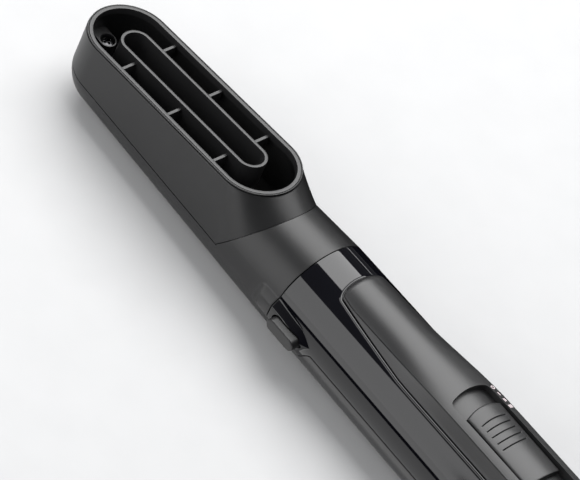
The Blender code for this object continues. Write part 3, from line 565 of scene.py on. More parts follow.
def collar_crease(turn, inset, lift):
    """Point on the collar crease; turn runs from -90 to 90 degrees across the nozzle."""
    side = 1.0 if turn >= 0 else -1.0
    phi = math.radians(90.0 - abs(turn) * (90.0 + CREASE_DROP) / 90.0)
    x = CORNER_X
    for _ in range(12):
        radius = nozzle_radius(x) - inset
        z = nozzle_axis(x) + radius * math.sin(phi)
        x = CORNER_X + COLLAR_CREASE_RUN * (z - crease_z(CORNER_X) - lift)
    return (x, side * radius * math.cos(phi), z)


def tower_loop(near, side, far):
    """Closed outline of the drafted wall: near end and far end by angle, sides by share of their length."""
    shares = spread(0.0, 1.0, 14)[1:-1]
    points = [near(turn) for turn in spread(-90.0, 90.0, 40)]
    points += [side(1.0, f) for f in shares]
    points += [far(math.radians(turn)) for turn in spread(90.0, 270.0, 40)]
    return points + [side(-1.0, f) for f in reversed(shares)]


def tower_ring(inset):
    """Outline of the rim, drawn in by inset."""
    near_radius, far_radius = RIM_NEAR_RADIUS - inset, RIM_FAR_RADIUS - inset

    def near(turn):
        a = math.radians(turn)
        return (RIM_NEAR_X + near_radius * math.cos(a), near_radius * math.sin(a))

    def side(sign, f):
        return (mix(RIM_NEAR_X, RIM_FAR_X, f), sign * mix(near_radius, far_radius, f))

    def far(a):
        return (RIM_FAR_X + near_radius * math.cos(a), far_radius * math.sin(a))
    return tower_loop(near, side, far)


def tower_base(inset, lift):
    """Foot of the drafted wall, on the creases, matching tower_ring point by point."""
    def reach(x):
        return (nozzle_radius(x) - inset) * math.cos(math.radians(CREASE_DROP))

    def near(turn):
        return collar_crease(turn, inset, lift)

    def side(sign, f):
        x = mix(CORNER_X, TIP_X, f)
        return (x, sign * reach(x), crease_z(x) + lift)

    def far(a):
        return (TIP_X + reach(TIP_X) * math.cos(a), reach(TIP_X) * math.sin(a), crease_z(TIP_X) + lift)
    return tower_loop(near, side, far)


def rim_row(inset, depth):
    return [(x, y, rim_z(x) - depth) for x, y in tower_ring(inset)]


def front_shell():
    low, high = RIM_GROOVE
    base = tower_base(0.0, 0.15)
    wall_top = rim_row(0.0, low + 0.1)
    rows = [[between(p, q, t) for p, q in zip(base, wall_top)]
            for t in (0.0, 0.012, 0.03, 0.1, 0.25, 0.45, 0.65, 0.82, 0.93, 0.98, 1.0)]
    rows[0] = tower_base(0.25, 0.15)
    rows += [rim_row(0.12, low - 0.03), rim_row(0.3, low), rim_row(0.7, low), rim_row(0.7, high),
             rim_row(0.26, high), rim_row(0.2, high - 0.06), rim_row(0.2, 0.22), rim_row(0.26, 0.08),
             rim_row(0.4, 0.02), rim_row(LINER[0] - 0.3, 0.02), rim_row(LINER[0] - 0.15, 0.12),
             rim_row(LINER[0] - 0.15, LINER_DEPTH + 0.1)]
    inner_base = tower_base(NOZZLE_WALL, 0.15)
    inner_top = rim_row(LINER[1] - 0.3, LINER_DEPTH + 0.1)
    rows += [[between(p, q, t) for p, q in zip(inner_top, inner_base)] for t in (0.0, 0.3, 0.65, 1.0)]
    shell = hoop("front_shell", rows, MATERIALS["matte_black"], 38.0)
    boss = screw_boss()
    carve(shell, boss, 38.0, "UNION")
    return even_normals(shell)


def outlet_liner():
    """Inner rim of the outlet, set into the wall."""
    inner, outer = LINER[1], LINER[0]
    rows = [rim_row(outer, LINER_DEPTH), rim_row(outer, 0.2), rim_row(outer + 0.06, 0.06),
            rim_row(outer + 0.2, 0.0), rim_row(inner - 0.3, 0.0), rim_row(inner - 0.09, 0.09),
            rim_row(inner, 0.3), rim_row(inner, LINER_DEPTH)]
    return even_normals(hoop("outlet_liner", rows, MATERIALS["satin_black"], 38.0))


def screw_boss():
    """Boss at the tip: a half round towards the outlet, with straight sides to the end wall."""
    wall_x = -130.0
    plan = [(wall_x, -SCREW_BOSS_RADIUS)] + bow(SCREW_X, SCREW_BOSS_RADIUS, -1, 1, 24)
    plan.append((wall_x, SCREW_BOSS_RADIUS))
    edge, bottom = 0.25, SCREW_TOP_Z - 8.0

    def drawn_in(amount):
        scale = 1.0 - amount / SCREW_BOSS_RADIUS
        return [(x if x == wall_x else SCREW_X + (x - SCREW_X) * scale, y * scale) for x, y in plan]
    rows = [[(x, y, bottom) for x, y in plan]]
    rows += [[(x, y, SCREW_TOP_Z - edge * depth) for x, y in drawn_in(edge * away)]
             for away, depth in ROUND]
    body = loft("screw_boss", rows)
    seat_rows = ((-3.0, 2.75), (-0.25, 2.75), (1.0, 3.6))
    seat = loft("screw_seat", [circle(SCREW_X, SCREW_TOP_Z + up, r, 40) for up, r in seat_rows])
    return carve(body, seat)


def circle(x, z, radius, segments):
    """Level circle round a point of the middle plane."""
    return [(x + radius * math.cos(a), radius * math.sin(a), z) for a in turns(segments)]


def obround(radius, near_x, far_x, steps=28):
    return bow(near_x, radius, -1, 1, steps) + bow(far_x, radius, 1, 3, steps)


def outlet_ring():
    edge = 0.3
    profile = [(INSERT_RADIUS, INSERT_DEPTH), (INSERT_RADIUS, edge)]
    profile += [(INSERT_RADIUS - a * edge, d * edge) for a, d in ROUND[1:]]
    profile += [(INSERT_RADIUS - INSERT_WALL + a * edge, d * edge) for a, d in reversed(ROUND)]
    profile += [(INSERT_RADIUS - INSERT_WALL, INSERT_DEPTH)]
    rows = [[(x, y, rim_z(x) - depth) for x, y in obround(radius, INSERT_NEAR_X, INSERT_FAR_X)]
            for radius, depth in profile]
    return even_normals(hoop("outlet_ring", rows, MATERIALS["satin_black"], 38.0))


def outlet_rib(name, x, side):
    """Rib from the ring to the wall, its long top edges rounded."""
    wall = mix(RIM_FAR_RADIUS, RIM_NEAR_RADIUS, (x - RIM_FAR_X) / (RIM_NEAR_X - RIM_FAR_X)) - RIM_WALL - 0.35
    top, half, edge = rim_z(x) - RIB_SETBACK, RIB_THICK / 2, 0.22
    section = [(-half, -RIB_DEPTH), (half, -RIB_DEPTH)]
    section += [(half - a * edge, -d * edge) for a, d in ROUND]
    section += [(-half + a * edge, -d * edge) for a, d in reversed(ROUND)]
    rows = [[(x + u, side * y, top + v) for u, v in section]
            for y in (INSERT_RADIUS - 0.6, 0.5 * (INSERT_RADIUS + wall), wall)]
    return even_normals(loft(name, rows, MATERIALS["satin_black"], 38.0))


def cross_screw(name, centre_x, top_z, head_radius, shank, material):
    """Pan-head screw with a cross recess, standing up along Z."""
    skin = Skin()
    segments, reach = 72, 0.62 * head_radius

    def height(radius, a):
        dome = 0.45 * (1.0 - (radius / head_radius) ** 2)
        u, v = abs(radius * math.cos(a)), abs(radius * math.sin(a))
        slot = 0.16 * head_radius + 0.1 * (reach - min(radius, reach))
        depth = smooth(slot - min(u, v), -0.12, 0.12) * smooth(reach - radius, -0.15, 0.2)
        return top_z - 0.45 + dome - 1.1 * depth
    rows = []
    for radius in spread(0.05, head_radius - 0.12, 26):
        rows.append([(centre_x + radius * math.cos(a), radius * math.sin(a), height(radius, a))
                     for a in turns(segments)])
    shank_radius, shank_length = shank
    for radius, z in ((head_radius, -0.6), (head_radius, -1.7), (shank_radius, -1.7),
                      (shank_radius, -1.7 - shank_length)):
        rows.append(circle(centre_x, top_z + z, radius, segments))
    numbers = skin.grid(rows, closed=True)
    skin.faces += [tuple(numbers[0]), tuple(numbers[-1])]
    return skin.build(name, material, 40.0)


def nozzle():
    wear(rear_shell(), "matte_black", "nozzle", "nozzle_rear_shell")
    wear(front_shell(), "matte_black", "nozzle", "nozzle_front_shell")
    wear(outlet_liner(), "matte_black", "nozzle")
    wear(outlet_ring(), "matte_black", "nozzle", "outlet_insert")
    for k, x in enumerate(RIB_X):
        for side_name, side in (("left", -1.0), ("right", 1.0)):
            wear(outlet_rib(f"outlet_rib_{side_name}_{k + 1}", x, side), "matte_black", "nozzle")
    screw = cross_screw("tip_screw", SCREW_X, SCREW_TOP_Z - 0.7, 2.4, (0.9, 11.5), MATERIALS["screw_black"])
    wear(screw, "steel", "nozzle", "nozzle_screw")


# --- handle shells ---
def boss_lines(x):
    """Angles of foot, flat, flat and foot of the boss at x, from below upwards, and its height."""
    flat_x, flat_end = BOSS_FLAT_END
    foot_x, foot_end = BOSS_FOOT_END
    if x >= foot_x:
        return (foot_end,) * 4 + (0.0,)
    foot_low = mix(-BOSS_FOOT, foot_end, share(x, BOSS_FOOT_CORNER_X, foot_x))
    narrow_x, narrow = BOSS_UPPER_FOOT
    foot_high = mix(BOSS_FOOT, narrow, share(x, 0.0, narrow_x))
    foot_high = mix(foot_high, foot_end, share(x, BOSS_UPPER_CURL, foot_x) ** 2.4)
    if x >= flat_x:
        t = (x - flat_x) / (foot_x - flat_x)
        ridge = mix(flat_end, foot_end, t)
        return foot_low, ridge, ridge, foot_high, BOSS_HEIGHT * (1.0 - t)
    flat_low = mix(-BOSS_FLAT, flat_end, share(x, BOSS_FLAT_CORNER_X, flat_x))
    flat_high = mix(BOSS_FLAT, flat_end, (x / flat_x) ** 2.5)
    return foot_low, flat_low, flat_high, foot_high, BOSS_HEIGHT


def crisp_line(points, width=0.22, pieces=3):
    """Points along straight stretches between corners, with each inner corner cut by width."""
    out = []
    for k, (p, q) in enumerate(zip(points, points[1:])):
        length = math.dist(p, q)
        cut = min(width / length, 0.4) if length > 1e-6 else 0.0
        start = cut if k > 0 else 0.0
        end = 1.0 - (cut if k < len(points) - 2 else 0.0)
        out += [between(p, q, t) for t in spread(start, end, pieces)]
    return out


def upper_side(x, sink):
    """Outer points of the upper shell's right side at x, from the seam to the top.

    sink lowers the skin, for the rounded edge at the joint."""
    foot_low, flat_low, flat_high, foot_high, height = boss_lines(x)
    radius, seam, edge = handle_radius(x), -seam_angle(x), 0.3
    points = [handle_point(x, seam + math.degrees(a * edge / radius), -d * edge - sink)
              for a, d in ROUND[:-1]]
    first = seam + math.degrees(edge / radius)
    points += [handle_point(x, a, -sink) for a in spread(first, foot_low, 5)[:-1]]
    corners = [handle_point(x, foot_low, -sink), handle_point(x, flat_low, height - sink),
               handle_point(x, flat_high, height - sink), handle_point(x, foot_high, -sink)]
    points += crisp_line(corners)[:-1]
    after = foot_high + math.degrees(FOOT_BEVEL / radius) * (1.0 if x < BOSS_FOOT_END[0] else 0.0)
    slope = max(math.dist(corners[3], corners[2]), 1e-6)
    points.append(between(corners[3], corners[2], min(FOOT_BEVEL / slope, 0.15)))
    points += [handle_point(x, a, -sink) for a in spread(after, 90.0, 34)]
    return points


def shell_stations(front):
    """X and sink of a handle shell's sections: rounded edges at both ends, and front near the joint."""
    near = [(GAP / 2 + a * 0.15, d * 0.15) for a, d in ROUND]
    far = [(TAIL_END - a * 0.3, d * 0.3) for a, d in reversed(ROUND)]
    return near + [(x, 0.0) for x in front + spread(40.0, 150.0, 11) + spread(154.0, 186.0, 8)] + far


def paint_dark_reflection_on_facets(shell):
    """Paints a dark reflection on the sloping upper facets of the two latch bosses: the gloss black with
    almost no specular.
    """
    shell.data.materials.append(MATERIALS["painted_dark_reflection"])
    for face in shell.data.polygons:
        x, y, z = (face.center - place((0.0, 0.0, 0.0))) / MM
        turn = math.degrees(math.asin(min(max(face.normal.z, -1.0), 1.0)))
        lift = math.hypot(y, z - handle_axis(x)) - handle_radius(x)
        if GAP < x < BOSS_FOOT_END[0] and 0.05 < lift < BOSS_HEIGHT and 27.0 < turn < 60.0:
            face.material_index = 1


def upper_shell():
    flat_x, foot_x = BOSS_FLAT_END[0], BOSS_FOOT_END[0]
    boss = spread(1.2, 13.2, 12) + spread(13.8, flat_x, 6) + spread(flat_x, foot_x - 0.35, 7)[1:] + [foot_x]
    rows = []
    for x, sink in shell_stations(boss + [21.2, 22.0, 23.0, 25.0, 28.0, 32.0]):
        right = upper_side(x, sink)
        full = right + [(p[0], -p[1], p[2]) for p in reversed(right[:-1])]
        row = []
        for p in full:
            turn = math.degrees(math.atan2(p[2] - handle_axis(x), p[1]))
            row.append((p, handle_point(x, turn, -HANDLE_WALL)))
        rows.append(row)
    skin = Skin()
    skin.grid(rows)
    skin.wall()
    shell = skin.build("upper_shell", MATERIALS["gloss_black"], 38.0)
    for side in (-1.0, 1.0):
        carve(shell, pill_prism("button_hole", [(side * y, BUTTON_GAP) for y in (15.0, 28.0)]), 38.0)
    inwards, outwards, down = PANEL_TRENCH
    trench = [(inwards, -down), (inwards, 0.5), (outwards, 0.5), (outwards, -down)]
    carve(shell, round_panel("panel_trench", trench), 38.0)
    slot = box_body("stem_hole", (STEM_SLOT_X[0] - 1, -STEM_HALF_WIDTH - 0.6, 34.0),
                    (STEM_SLOT_X[1] + 1, STEM_HALF_WIDTH + 0.6, 50.0), 0.2)
    carve(shell, slot, 38.0)
    # painted dark reflection on the upward-facing boss facets
    paint_dark_reflection_on_facets(shell)
    return even_normals(shell)


def lower_shell():
    seam_gap = math.degrees(1.3 * GAP / JOINT_RADIUS)
    flat_start = 263.5
    rows = []
    for x, sink in shell_stations([4.0, 9.0, 13.0] + spread(14.5, 23.0, 17) + [26.0, 32.0]):
        start = 180.0 + seam_angle(x) + seam_gap
        edge, radius = 0.3, handle_radius(x)
        side = [(start + math.degrees(a * edge / radius), d * edge) for a, d in ROUND[:-1]]
        side += [(a, 0.0) for a in spread(start + math.degrees(edge / radius), flat_start, 20)]
        half = [(handle_point(x, a, -d - sink), handle_point(x, a, -HANDLE_WALL)) for a, d in side]
        middle = [(handle_point(x, 270.0, -sink), handle_point(x, 270.0, -HANDLE_WALL))]
        mirrored = [tuple((p[0], -p[1], p[2]) for p in pair) for pair in reversed(half)]
        rows.append(half + middle + mirrored)
    skin = Skin()
    skin.grid(rows)
    skin.wall()
    shell = skin.build("lower_shell", MATERIALS["lower_black"], 38.0)
    passage = loft("screw_passage", [circle(CASE_SCREW_X, z, 2.9, 40) for z in (-5.0, 4.9)])
    return even_normals(carve(shell, passage, 38.0))


# --- grip panel and switch ---
def panel_half(x):
    """Half the angle that the panel covers, in degrees."""
    narrow, wide = PANEL_HALF
    side = mix(narrow, wide, share(x, PANEL_START, PANEL_START + PANEL_WIDENING) ** 0.8)
    nose = math.sqrt(max(1.0 - (1.0 - min((x - PANEL_START) / PANEL_NOSE, 1.0)) ** 2, 0.0))
    tail = math.sqrt(max(1.0 - max((x - PANEL_END) / PANEL_TAIL + 1.0, 0.0) ** 2, 0.0))
    return side * nose * tail


def panel_top(x):
    """Height of the panel's crown over its underside."""
    rise = smooth(x, *PANEL_RISE)
    fall = smooth(x, *PANEL_FALL)
    return PANEL_NOSE_THICK + (PANEL_THICK - PANEL_NOSE_THICK) * rise * (1.0 - fall)


def panel_crown(x):
    """Drop from the middle of the panel's top to its crease."""
    return mix(*PANEL_CROWN, smooth(x, *PANEL_CROWN_X))


def panel_section(x):
    """Half a section of the panel, from the middle of its underside round to the middle of its top."""
    half, radius = panel_half(x), handle_radius(x)
    crease = min(PANEL_CREASE, 0.93 * half)
    edge = 0.55
    rim, drop = PANEL_EDGE, panel_crown(x) * min(crease / PANEL_CREASE, 1.0) ** 2
    front = 1.0 - min((x - PANEL_START) / PANEL_FRONT_ROUND, 1.0)
    top = rim + (panel_top(x) - panel_crown(x) + drop - rim) * math.sqrt(1.0 - front ** 2)
    groove = PANEL_GROOVE * smooth(crease, 12.0, 24.0)
    points = [handle_point(x, 90.0 - a, GAP) for a in spread(0.0, half, 14)]
    inset = math.degrees(edge / radius)
    for away, depth in ROUND:
        points.append(handle_point(x, 90.0 - max(half - inset * away, 0.0), GAP + rim - edge * depth))
    band = [handle_point(x, 90.0 - max(half - inset, 0.0), GAP + rim),
            handle_point(x, 90.0 - crease, GAP + top - drop)]
    step = min(0.2 / max(math.dist(*band), 1e-6), 0.3)
    points += [between(band[0], band[1], t) for t in spread(0.0, 1.0 - step, 5)[1:]]
    points.append(handle_point(x, 90.0 - crease, GAP + top - drop - groove))
    after = max(crease - math.degrees(0.2 / radius), 0.0)
    points += [handle_point(x, 90.0 - a, GAP + top - drop * (a / crease) ** 2 if crease else GAP + top)
               for a in spread(after, 0.0, 22)]
    return points


def panel_stations():
    nose = [PANEL_START + PANEL_NOSE * (1.0 - math.cos(math.radians(a))) for a in spread(0.0, 90.0, 14)]
    tail = [PANEL_END - PANEL_TAIL * (1.0 - math.sin(math.radians(a))) for a in spread(0.0, 90.0, 16)]
    return nose + [19.0, 21.0, 24.0, 28.0] + spread(33.0, 143.0, 22) + tail


def grip_panel():
    rows = []
    for x in panel_stations():
        half = panel_section(x)
        rows.append(half + [(p[0], -p[1], p[2]) for p in reversed(half[1:-1])])
    panel = loft("grip", rows, MATERIALS["grip_black"], 34.0)
    floor_radius = handle_radius(RECESS_MIDDLE_X) + GAP + RECESS_FLOOR

    def pocket_floor(y):
        return handle_axis(RECESS_MIDDLE_X) + math.sqrt(floor_radius ** 2 - y ** 2)
    sections = []
    corner = 1.6                # radius of the pocket's corners in plan
    for y in spread(-RECESS_HALF_WIDTH, RECESS_HALF_WIDTH, 40):
        to_side = RECESS_HALF_WIDTH - abs(y)
        turn_in = corner - math.sqrt(max(corner ** 2 - (corner - min(to_side, corner)) ** 2, 0.0))
        start = RECESS_START + RECESS_BOW * (y / RECESS_HALF_WIDTH) ** 2 + turn_in
        end = RECESS_END - turn_in
        sections.append([(start, y, pocket_floor(y)), (end, y, pocket_floor(y)), (end, y, 60.0),
                         (start, y, 60.0)])
    carve(panel, loft("pocket", sections), 34.0)
    slot = box_body("stem_opening", (STEM_SLOT_X[0], -STEM_HALF_WIDTH - GAP, 34.0),
                    (STEM_SLOT_X[1], STEM_HALF_WIDTH + GAP, 60.0), 0.3)
    carve(panel, slot, 34.0)
    return even_normals(panel)


def round_panel(name, profile, material=None):
    """Body that runs round the panel; profile is a closed outline of (outwards, up) on the shell."""
    path, stations = [], panel_stations()
    for side in (1.0, -1.0):
        for x in stations if side > 0 else reversed(stations[1:-1]):
            path.append((x, side * panel_half(x)))
    flat = [Vector((x, handle_radius(x) * math.radians(a))) for x, a in path]
    count, rows = len(flat), []
    for k, here in enumerate(flat):
        ahead = (flat[(k + 1) % count] - flat[k - 1]).normalized()
        outward = Vector((-ahead.y, ahead.x))
        section = []
        for out, up in profile:
            spot = here + outward * out
            section.append(handle_point(spot.x, 90.0 - math.degrees(spot.y / handle_radius(spot.x)), up))
        rows.append(section)
    return hoop(name, rows, material, 24.0)


def panel_bead():
    """Raised edge of the upper shell that frames the panel."""
    foot = PANEL_TRENCH[1]
    profile = [(foot, -0.3), (foot, -0.02), (foot + 0.26, 0.11), (foot + 0.5, 0.17), (foot + 0.58, 0.17),
               (foot + 0.95, 0.0), (foot + 0.95, -0.3)]
    return round_panel("panel_bead", profile, MATERIALS["gloss_black"])


def thumb_slider():
    """Sliding knob with its grooves, and the stem that reaches through the shell."""
    base = handle_radius(RECESS_MIDDLE_X) + GAP + RECESS_FLOOR + GAP
    edge = 0.4
    lengthwise = [KNOB_START + KNOB_FRONT_ROUND * t for t in (0.0, 0.05, 0.15, 0.35, 0.65, 1.0)]
    lengthwise += spread(KNOB_START + KNOB_FRONT_ROUND, 84.4, 5)[1:]
    for groove in KNOB_GROOVES:
        lengthwise += [groove + d for d in (-0.45, -0.28, -0.14, 0.0, 0.14, 0.28, 0.45)] + [groove + 1.2]
    lengthwise += spread(100.0, KNOB_END - 1.0, 6) + [KNOB_END - a * edge for a, _ in reversed(ROUND)]
    across = [-KNOB_HALF_WIDTH + a * edge for a, _ in ROUND] + spread(-7.0, 7.0, 40)
    across += [KNOB_HALF_WIDTH - a * edge for a, _ in reversed(ROUND)]

    def edge_drop(value, low, high):
        away = min(value - low, high - value)
        t = min(away / edge, 1.0)
        return edge * (1.0 - math.sqrt(max(1.0 - (1.0 - t) ** 2, 0.0)))

    def top(x, y):
        drop = max(edge_drop(x, KNOB_START, KNOB_END), edge_drop(y, -KNOB_HALF_WIDTH, KNOB_HALF_WIDTH))
        ends = smooth(KNOB_GROOVE_REACH + 0.2 - abs(y), 0.0, 0.4)
        drop = max(drop, KNOB_FRONT_ROUND * (1.0 - math.sqrt(1.0 - max(1.0 - (x - KNOB_START)
                                                                       / KNOB_FRONT_ROUND, 0.0) ** 2)))
        cut = sum(max(1.0 - abs(x - g) / 0.3, 0.0) for g in KNOB_GROOVES)
        return KNOB_THICK - drop - 0.5 * cut * ends

    def at(x, y, height):
        turn = math.asin(y / base)
        x += KNOB_BOW * (y / KNOB_HALF_WIDTH) ** 2 * (1.0 - smooth(x, KNOB_START + 1.0, KNOB_START + 14.0))
        return (x, y, handle_axis(RECESS_MIDDLE_X) + (base + height) * math.cos(turn))
    skin = Skin()
    rows = [[(at(x, y, top(x, y)), at(x, y, 0.0)) for y in across] for x in lengthwise]
    skin.grid(rows)
    skin.wall()
    knob = skin.build("thumb_slider", MATERIALS["grip_black"], 38.0)
    stem = box_body("slider_stem", (STEM_X[0], -STEM_HALF_WIDTH, 32.5),
                    (STEM_X[1], STEM_HALF_WIDTH, handle_axis(RECESS_MIDDLE_X) + base + 0.6), 0.2)
    carve(knob, stem, 38.0, "UNION")
    return even_normals(knob)


def switch_marks():
    """Four plain marks beside the switch: a ring for off, then one, two and three bars."""
    from_top = math.degrees((RECESS_HALF_WIDTH + 1.5) / (handle_radius(80.0) + PANEL_THICK))
    marks = []
    for k, x in enumerate(MARK_X):
        radius = handle_radius(x) + panel_top(x)

        def surface(u, v, height):
            turn = from_top + math.degrees(v / radius)
            lift = GAP + panel_top(x + u) - panel_crown(x + u) * (turn / PANEL_CREASE) ** 2
            return handle_point(x + u, 90.0 - turn, lift + height - 0.05)
        name = f"switch_mark_{k + 1}"
        if k == 0:
            outline = [(math.cos(a), math.sin(a)) for a in spread(0.0, 2.0 * math.pi, 24)[:-1]]
            rows = [[surface(r * c, r * s, h) for c, s in outline]
                    for r, h in ((0.85, 0.0), (0.85, 0.1), (0.5, 0.1), (0.5, 0.0))]
            marks.append(hoop(name, rows, MATERIALS["mark_pale"]))
            continue
        skin = Skin()
        for bar in range(k):
            middle_v = (bar - 0.5 * (k - 1)) * 0.62
            corners = [(-0.75, middle_v - 0.19), (0.75, middle_v - 0.19), (0.75, middle_v + 0.19),
                       (-0.75, middle_v + 0.19)]
            numbers = skin.grid([[surface(u, v, h) for u, v in corners] for h in (0.0, 0.1)], closed=True)
            skin.faces += [tuple(numbers[0]), tuple(numbers[1])]
        marks.append(skin.build(name, MATERIALS["mark_pale"]))
    return marks


# --- release buttons ---
def pill(half_length, half_height, steps=16):
    right = bow(half_length - half_height, half_height, -1, 1, steps)
    return right + [(-u, -v) for u, v in right]


def pill_prism(name, sizes, material=None):
    """Body along Y through pill outlines; sizes is a list of (y, growth over the button's size)."""
    rows = [[(BUTTON_X + u, y, BUTTON_Z + v)
             for u, v in pill(BUTTON_LENGTH / 2 + grow, BUTTON_HEIGHT / 2 + grow)] for y, grow in sizes]
    return loft(name, rows, material, 36.0)


def release_button(name, side):
    flange_in, flange_out = BUTTON_FLANGE
    edge = 0.6
    sizes = [(side * flange_in, 1.3), (side * flange_out, 1.3), (side * (flange_out + 0.01), 0.0)]
    sizes += [(side * (BUTTON_TOP - edge * (1.0 - math.sin(a))), -edge * (1.0 - math.cos(a)))
              for a in spread(0.0, math.pi / 2, 7)]
    sizes.append((side * BUTTON_TOP, -1.7))
    button = pill_prism(name, sizes, MATERIALS["matte_black"])
    for end_x, inner, outer, half, edge in (LATCH_ARM, LATCH_HOOK):
        low, high = sorted((side * inner, side * outer))
        carve(button, box_body("latch", (LATCH_FRONT_X, low, JOINT_AXIS_Z - half),
                               (end_x, high, JOINT_AXIS_Z + half), edge), 36.0, "UNION")
    return even_normals(button)


# --- tail ---
def intake_cap():
    x0, x1 = CAP_X
    axis_z = handle_axis(TAIL_END)
    profile = [(x0 - 6.0, 15.2), (x0, 15.2), (x0, 17.5), (x0 + 3.0, 17.2), (x1 - 4.0, 12.6), (x1, 10.6),
               (x1, GLAND_RADIUS + GAP), (x1 - 2.0, GLAND_RADIUS + GAP), (x1 - 5.0, 10.2),
               (x0 + 2.0, 13.6), (x0 - 6.0, 13.6)]
    softness = [0.3, 0.0, 0.5, 1.2, 3.0, 0.8, 0.4, 0.3, 0.5, 0.5, 0.3]
    cap = turned("air_intake_cap", rounded(profile, softness, 4), MATERIALS["matte_black"], axis_z, 120)
    for k in range(CAP_SLOTS):
        slot = box_body("slot", (x0 + 4.5, -1.2, 8.0), (x1 - 5.5, 1.2, 20.0), 1.15)
        turn = Matrix.Rotation(2.0 * math.pi * k / CAP_SLOTS, 4, "X")
        slot.data.transform(Matrix.Translation((0.0, 0.0, axis_z * MM)) @ turn)
        carve(cap, slot, 36.0)
    return even_normals(cap)


def swivel_gland():
    x1 = CAP_X[1]
    profile = [(x1 - 7.0, 8.2), (x1 - 4.6, 8.2), (x1 - 4.6, GLAND_RADIUS), (x1 + 5.0, GLAND_RADIUS),
               (x1 + GLAND_REACH, 5.2), (x1 + GLAND_REACH, GLAND_BORE), (x1 - 7.0, GLAND_BORE)]
    softness = [0.3, 0.3, 0.1, 1.6, 0.7, 0.6, 0.3]
    return even_normals(turned("swivel_gland", rounded(profile, softness, 4), MATERIALS["matte_black"],
                               handle_axis(TAIL_END), 80))


def handle():
    wear(upper_shell(), "gloss_black", "handle", "handle_upper_shell")
    wear(lower_shell(), "lower_black", "handle", "handle_lower_shell")
    wear(grip_panel(), "grip_black", "handle", "grip_panel")
    wear(panel_bead(), "gloss_black", "handle")
    for mark in switch_marks():
        wear(mark, "white_nylon", "handle")
    wear(thumb_slider(), "grip_black", "switch", "thumb_switch")
    for side_name, side in (("left", -1.0), ("right", 1.0)):
        wear(release_button(f"latch_button_{side_name}", side), "matte_black", f"button_{side_name}",
             f"release_button_{side_name}")
    wear(intake_cap(), "matte_black", "cap", "intake_cap")
    wear(swivel_gland(), "matte_black", "gland", "cord_gland")


# --- inner pieces keep their CAD shape ---
INNER_FINISH = {
    "front_spigot": "heat_grey", "spigot_grille": "heat_grey", "heater_sleeve": "mica",
    "heater_frame": "mica", "heating_coil": "nichrome", "heater_clip": "mica", "thermostat": "steel",
    "thermal_fuse": "white_nylon", "motor": "steel", "fan_duct": "white_nylon", "fan": "white_nylon",
    "switch_body": "lower_black", "control_board": "board_green", "filter_disc": "steel",
    "gland_carrier": "matte_black", "case_screw": "steel", "latch_spring_left": "steel",
    "latch_spring_right": "steel",
}


def finish_inner_pieces():
    for node, slot in INNER_FINISH.items():
        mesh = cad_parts[node].data
        mesh.materials.clear()
        mesh.materials.append(MATERIALS[slot])


# --- floor, light and camera ---
def make_floor():
    bm = bmesh.new()
    bmesh.ops.create_grid(bm, x_segments=1, y_segments=1, size=6.0)
    floor = finish_mesh("floor", bm, MATERIALS["floor"])


def softbox(name, target, edges, reach, distance, radiance):
    """Panel of light whose long edges run along X.

    edges are the directions of its two long edges from target; reach is its extent along X.
    """
    low, high = (Vector(edge).normalized() * distance for edge in edges)
    across = high - low
    away = Vector((1.0, 0.0, 0.0)).cross(across).normalized()
    if away.dot(low) < 0.0:
        away.negate()
    light = bpy.data.lights.new(name, "AREA")
    light.shape = "RECTANGLE"
    light.size, light.size_y = reach[1] - reach[0], across.length
    light.energy = radiance * math.pi * light.size * light.size_y
    obj = bpy.data.objects.new(name, light)
    centre = target + (low + high) / 2.0
    centre.x = target.x + (reach[0] + reach[1]) / 2.0
    side = away.cross(Vector((1.0, 0.0, 0.0)))
    obj.matrix_world = Matrix.Translation(centre) @ \
        Matrix((Vector((1.0, 0.0, 0.0)), side, away)).transposed().to_4x4()
    bpy.context.scene.collection.objects.link(obj)
    return obj


def make_flag(name, along, across, material="flag"):
    """Sheet on the floor that only reflections see, over metres of X and Y."""
    bm = bmesh.new()
    corners = [(along[0], across[0]), (along[1], across[0]), (along[1], across[1]), (along[0], across[1])]
    bm.faces.new([bm.verts.new((x, y, 0.0004)) for x, y in corners])
    flag = finish_mesh(name, bm, MATERIALS[material])
    flag.visible_camera = flag.visible_diffuse = flag.visible_shadow = False


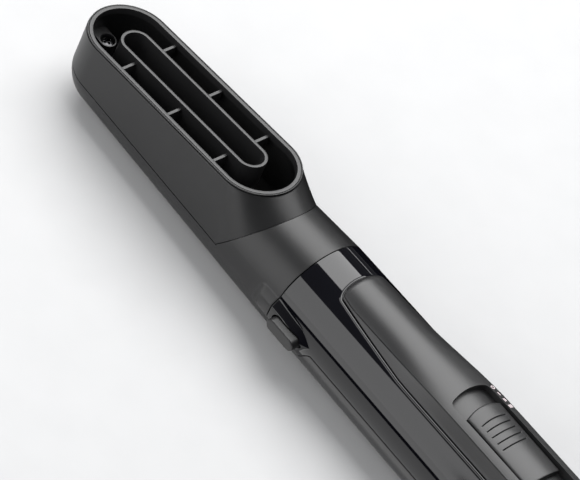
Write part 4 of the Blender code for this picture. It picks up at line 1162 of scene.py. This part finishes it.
def make_light():
    """Two softboxes, a thin strip, a fill that reflections miss, and flags and sheets for the gloss."""
    target = Vector((JOINT_X + 10.0, 0.0, JOINT_AXIS_Z)) * MM
    softbox("softbox_top", target, ((-0.35, 0.71, 0.61), (-0.35, -0.08, 0.93)), (-1.7, 0.30), 1.5, 5.6)
    softbox("softbox_side", target, ((-0.35, -0.93, -0.012), (-0.35, -0.684, 0.641)), (-3.6, -0.78), 3.0, 2.5)
    softbox("strip", target, ((-0.35, 0.91, 0.22), (-0.35, 0.90, 0.24)), (-1.2, 0.2), 1.4, 3.5)
    fill = softbox("fill", target, ((-0.3, -0.85, 0.35), (-0.3, -0.45, 0.84)), (-1.6, 1.0), 1.8, 1.6)
    fill.visible_glossy = False
    make_flag("flag_left", (-0.095, 0.4), (-0.135, -0.095))
    make_flag("flag_right", (-2.0, 2.0), (0.024, 2.0))
    make_flag("sheet_left", (-0.2, 0.4), (-2.8, -0.136), "sheet")
    make_flag("sheet_far", (-1.6, -0.2), (-2.8, -0.45), "sheet")
    make_flag("sheet_near", (-0.06, 0.4), (-0.094, -0.024), "dim_sheet")
    world = bpy.data.worlds.new("studio")
    bpy.context.scene.world = world
    world.use_nodes = True
    nodes, links = world.node_tree.nodes, world.node_tree.links
    background, light_path = nodes["Background"], nodes.new("ShaderNodeLightPath")
    background.inputs["Color"].default_value = (0.94, 0.96, 1.0, 1.0)
    ambient = nodes.new("ShaderNodeMapRange")       # stronger for diffuse rays than for the rest
    ambient.inputs["To Min"].default_value = 0.10
    ambient.inputs["To Max"].default_value = 0.50
    links.new(light_path.outputs["Is Diffuse Ray"], ambient.inputs["Value"])
    links.new(ambient.outputs["Result"], background.inputs["Strength"])
    bpy.context.scene.view_settings.view_transform = "Standard"


def make_camera():
    azimuth, elevation, roll = (math.radians(a) for a in (AZIMUTH, ELEVATION, ROLL))
    back = Vector((math.cos(elevation) * math.sin(azimuth), -math.cos(elevation) * math.cos(azimuth),
                   math.sin(elevation)))
    level_right = Vector((math.cos(azimuth), math.sin(azimuth), 0.0))
    level_up = back.cross(level_right)
    right = level_right * math.cos(roll) + level_up * math.sin(roll)
    up = back.cross(right)
    data = bpy.data.cameras.new("camera")
    data.lens = CAMERA_LENS
    data.sensor_width = 36.0
    camera = bpy.data.objects.new("camera", data)
    camera.matrix_world = Matrix.Translation(CAMERA_TARGET + back * CAMERA_DISTANCE) @ \
        Matrix((right, up, back)).transposed().to_4x4()
    bpy.context.scene.collection.objects.link(camera)
    bpy.context.scene.camera = camera


make_materials()
make_camera()
nozzle()
handle()
finish_inner_pieces()
make_floor()
make_light()
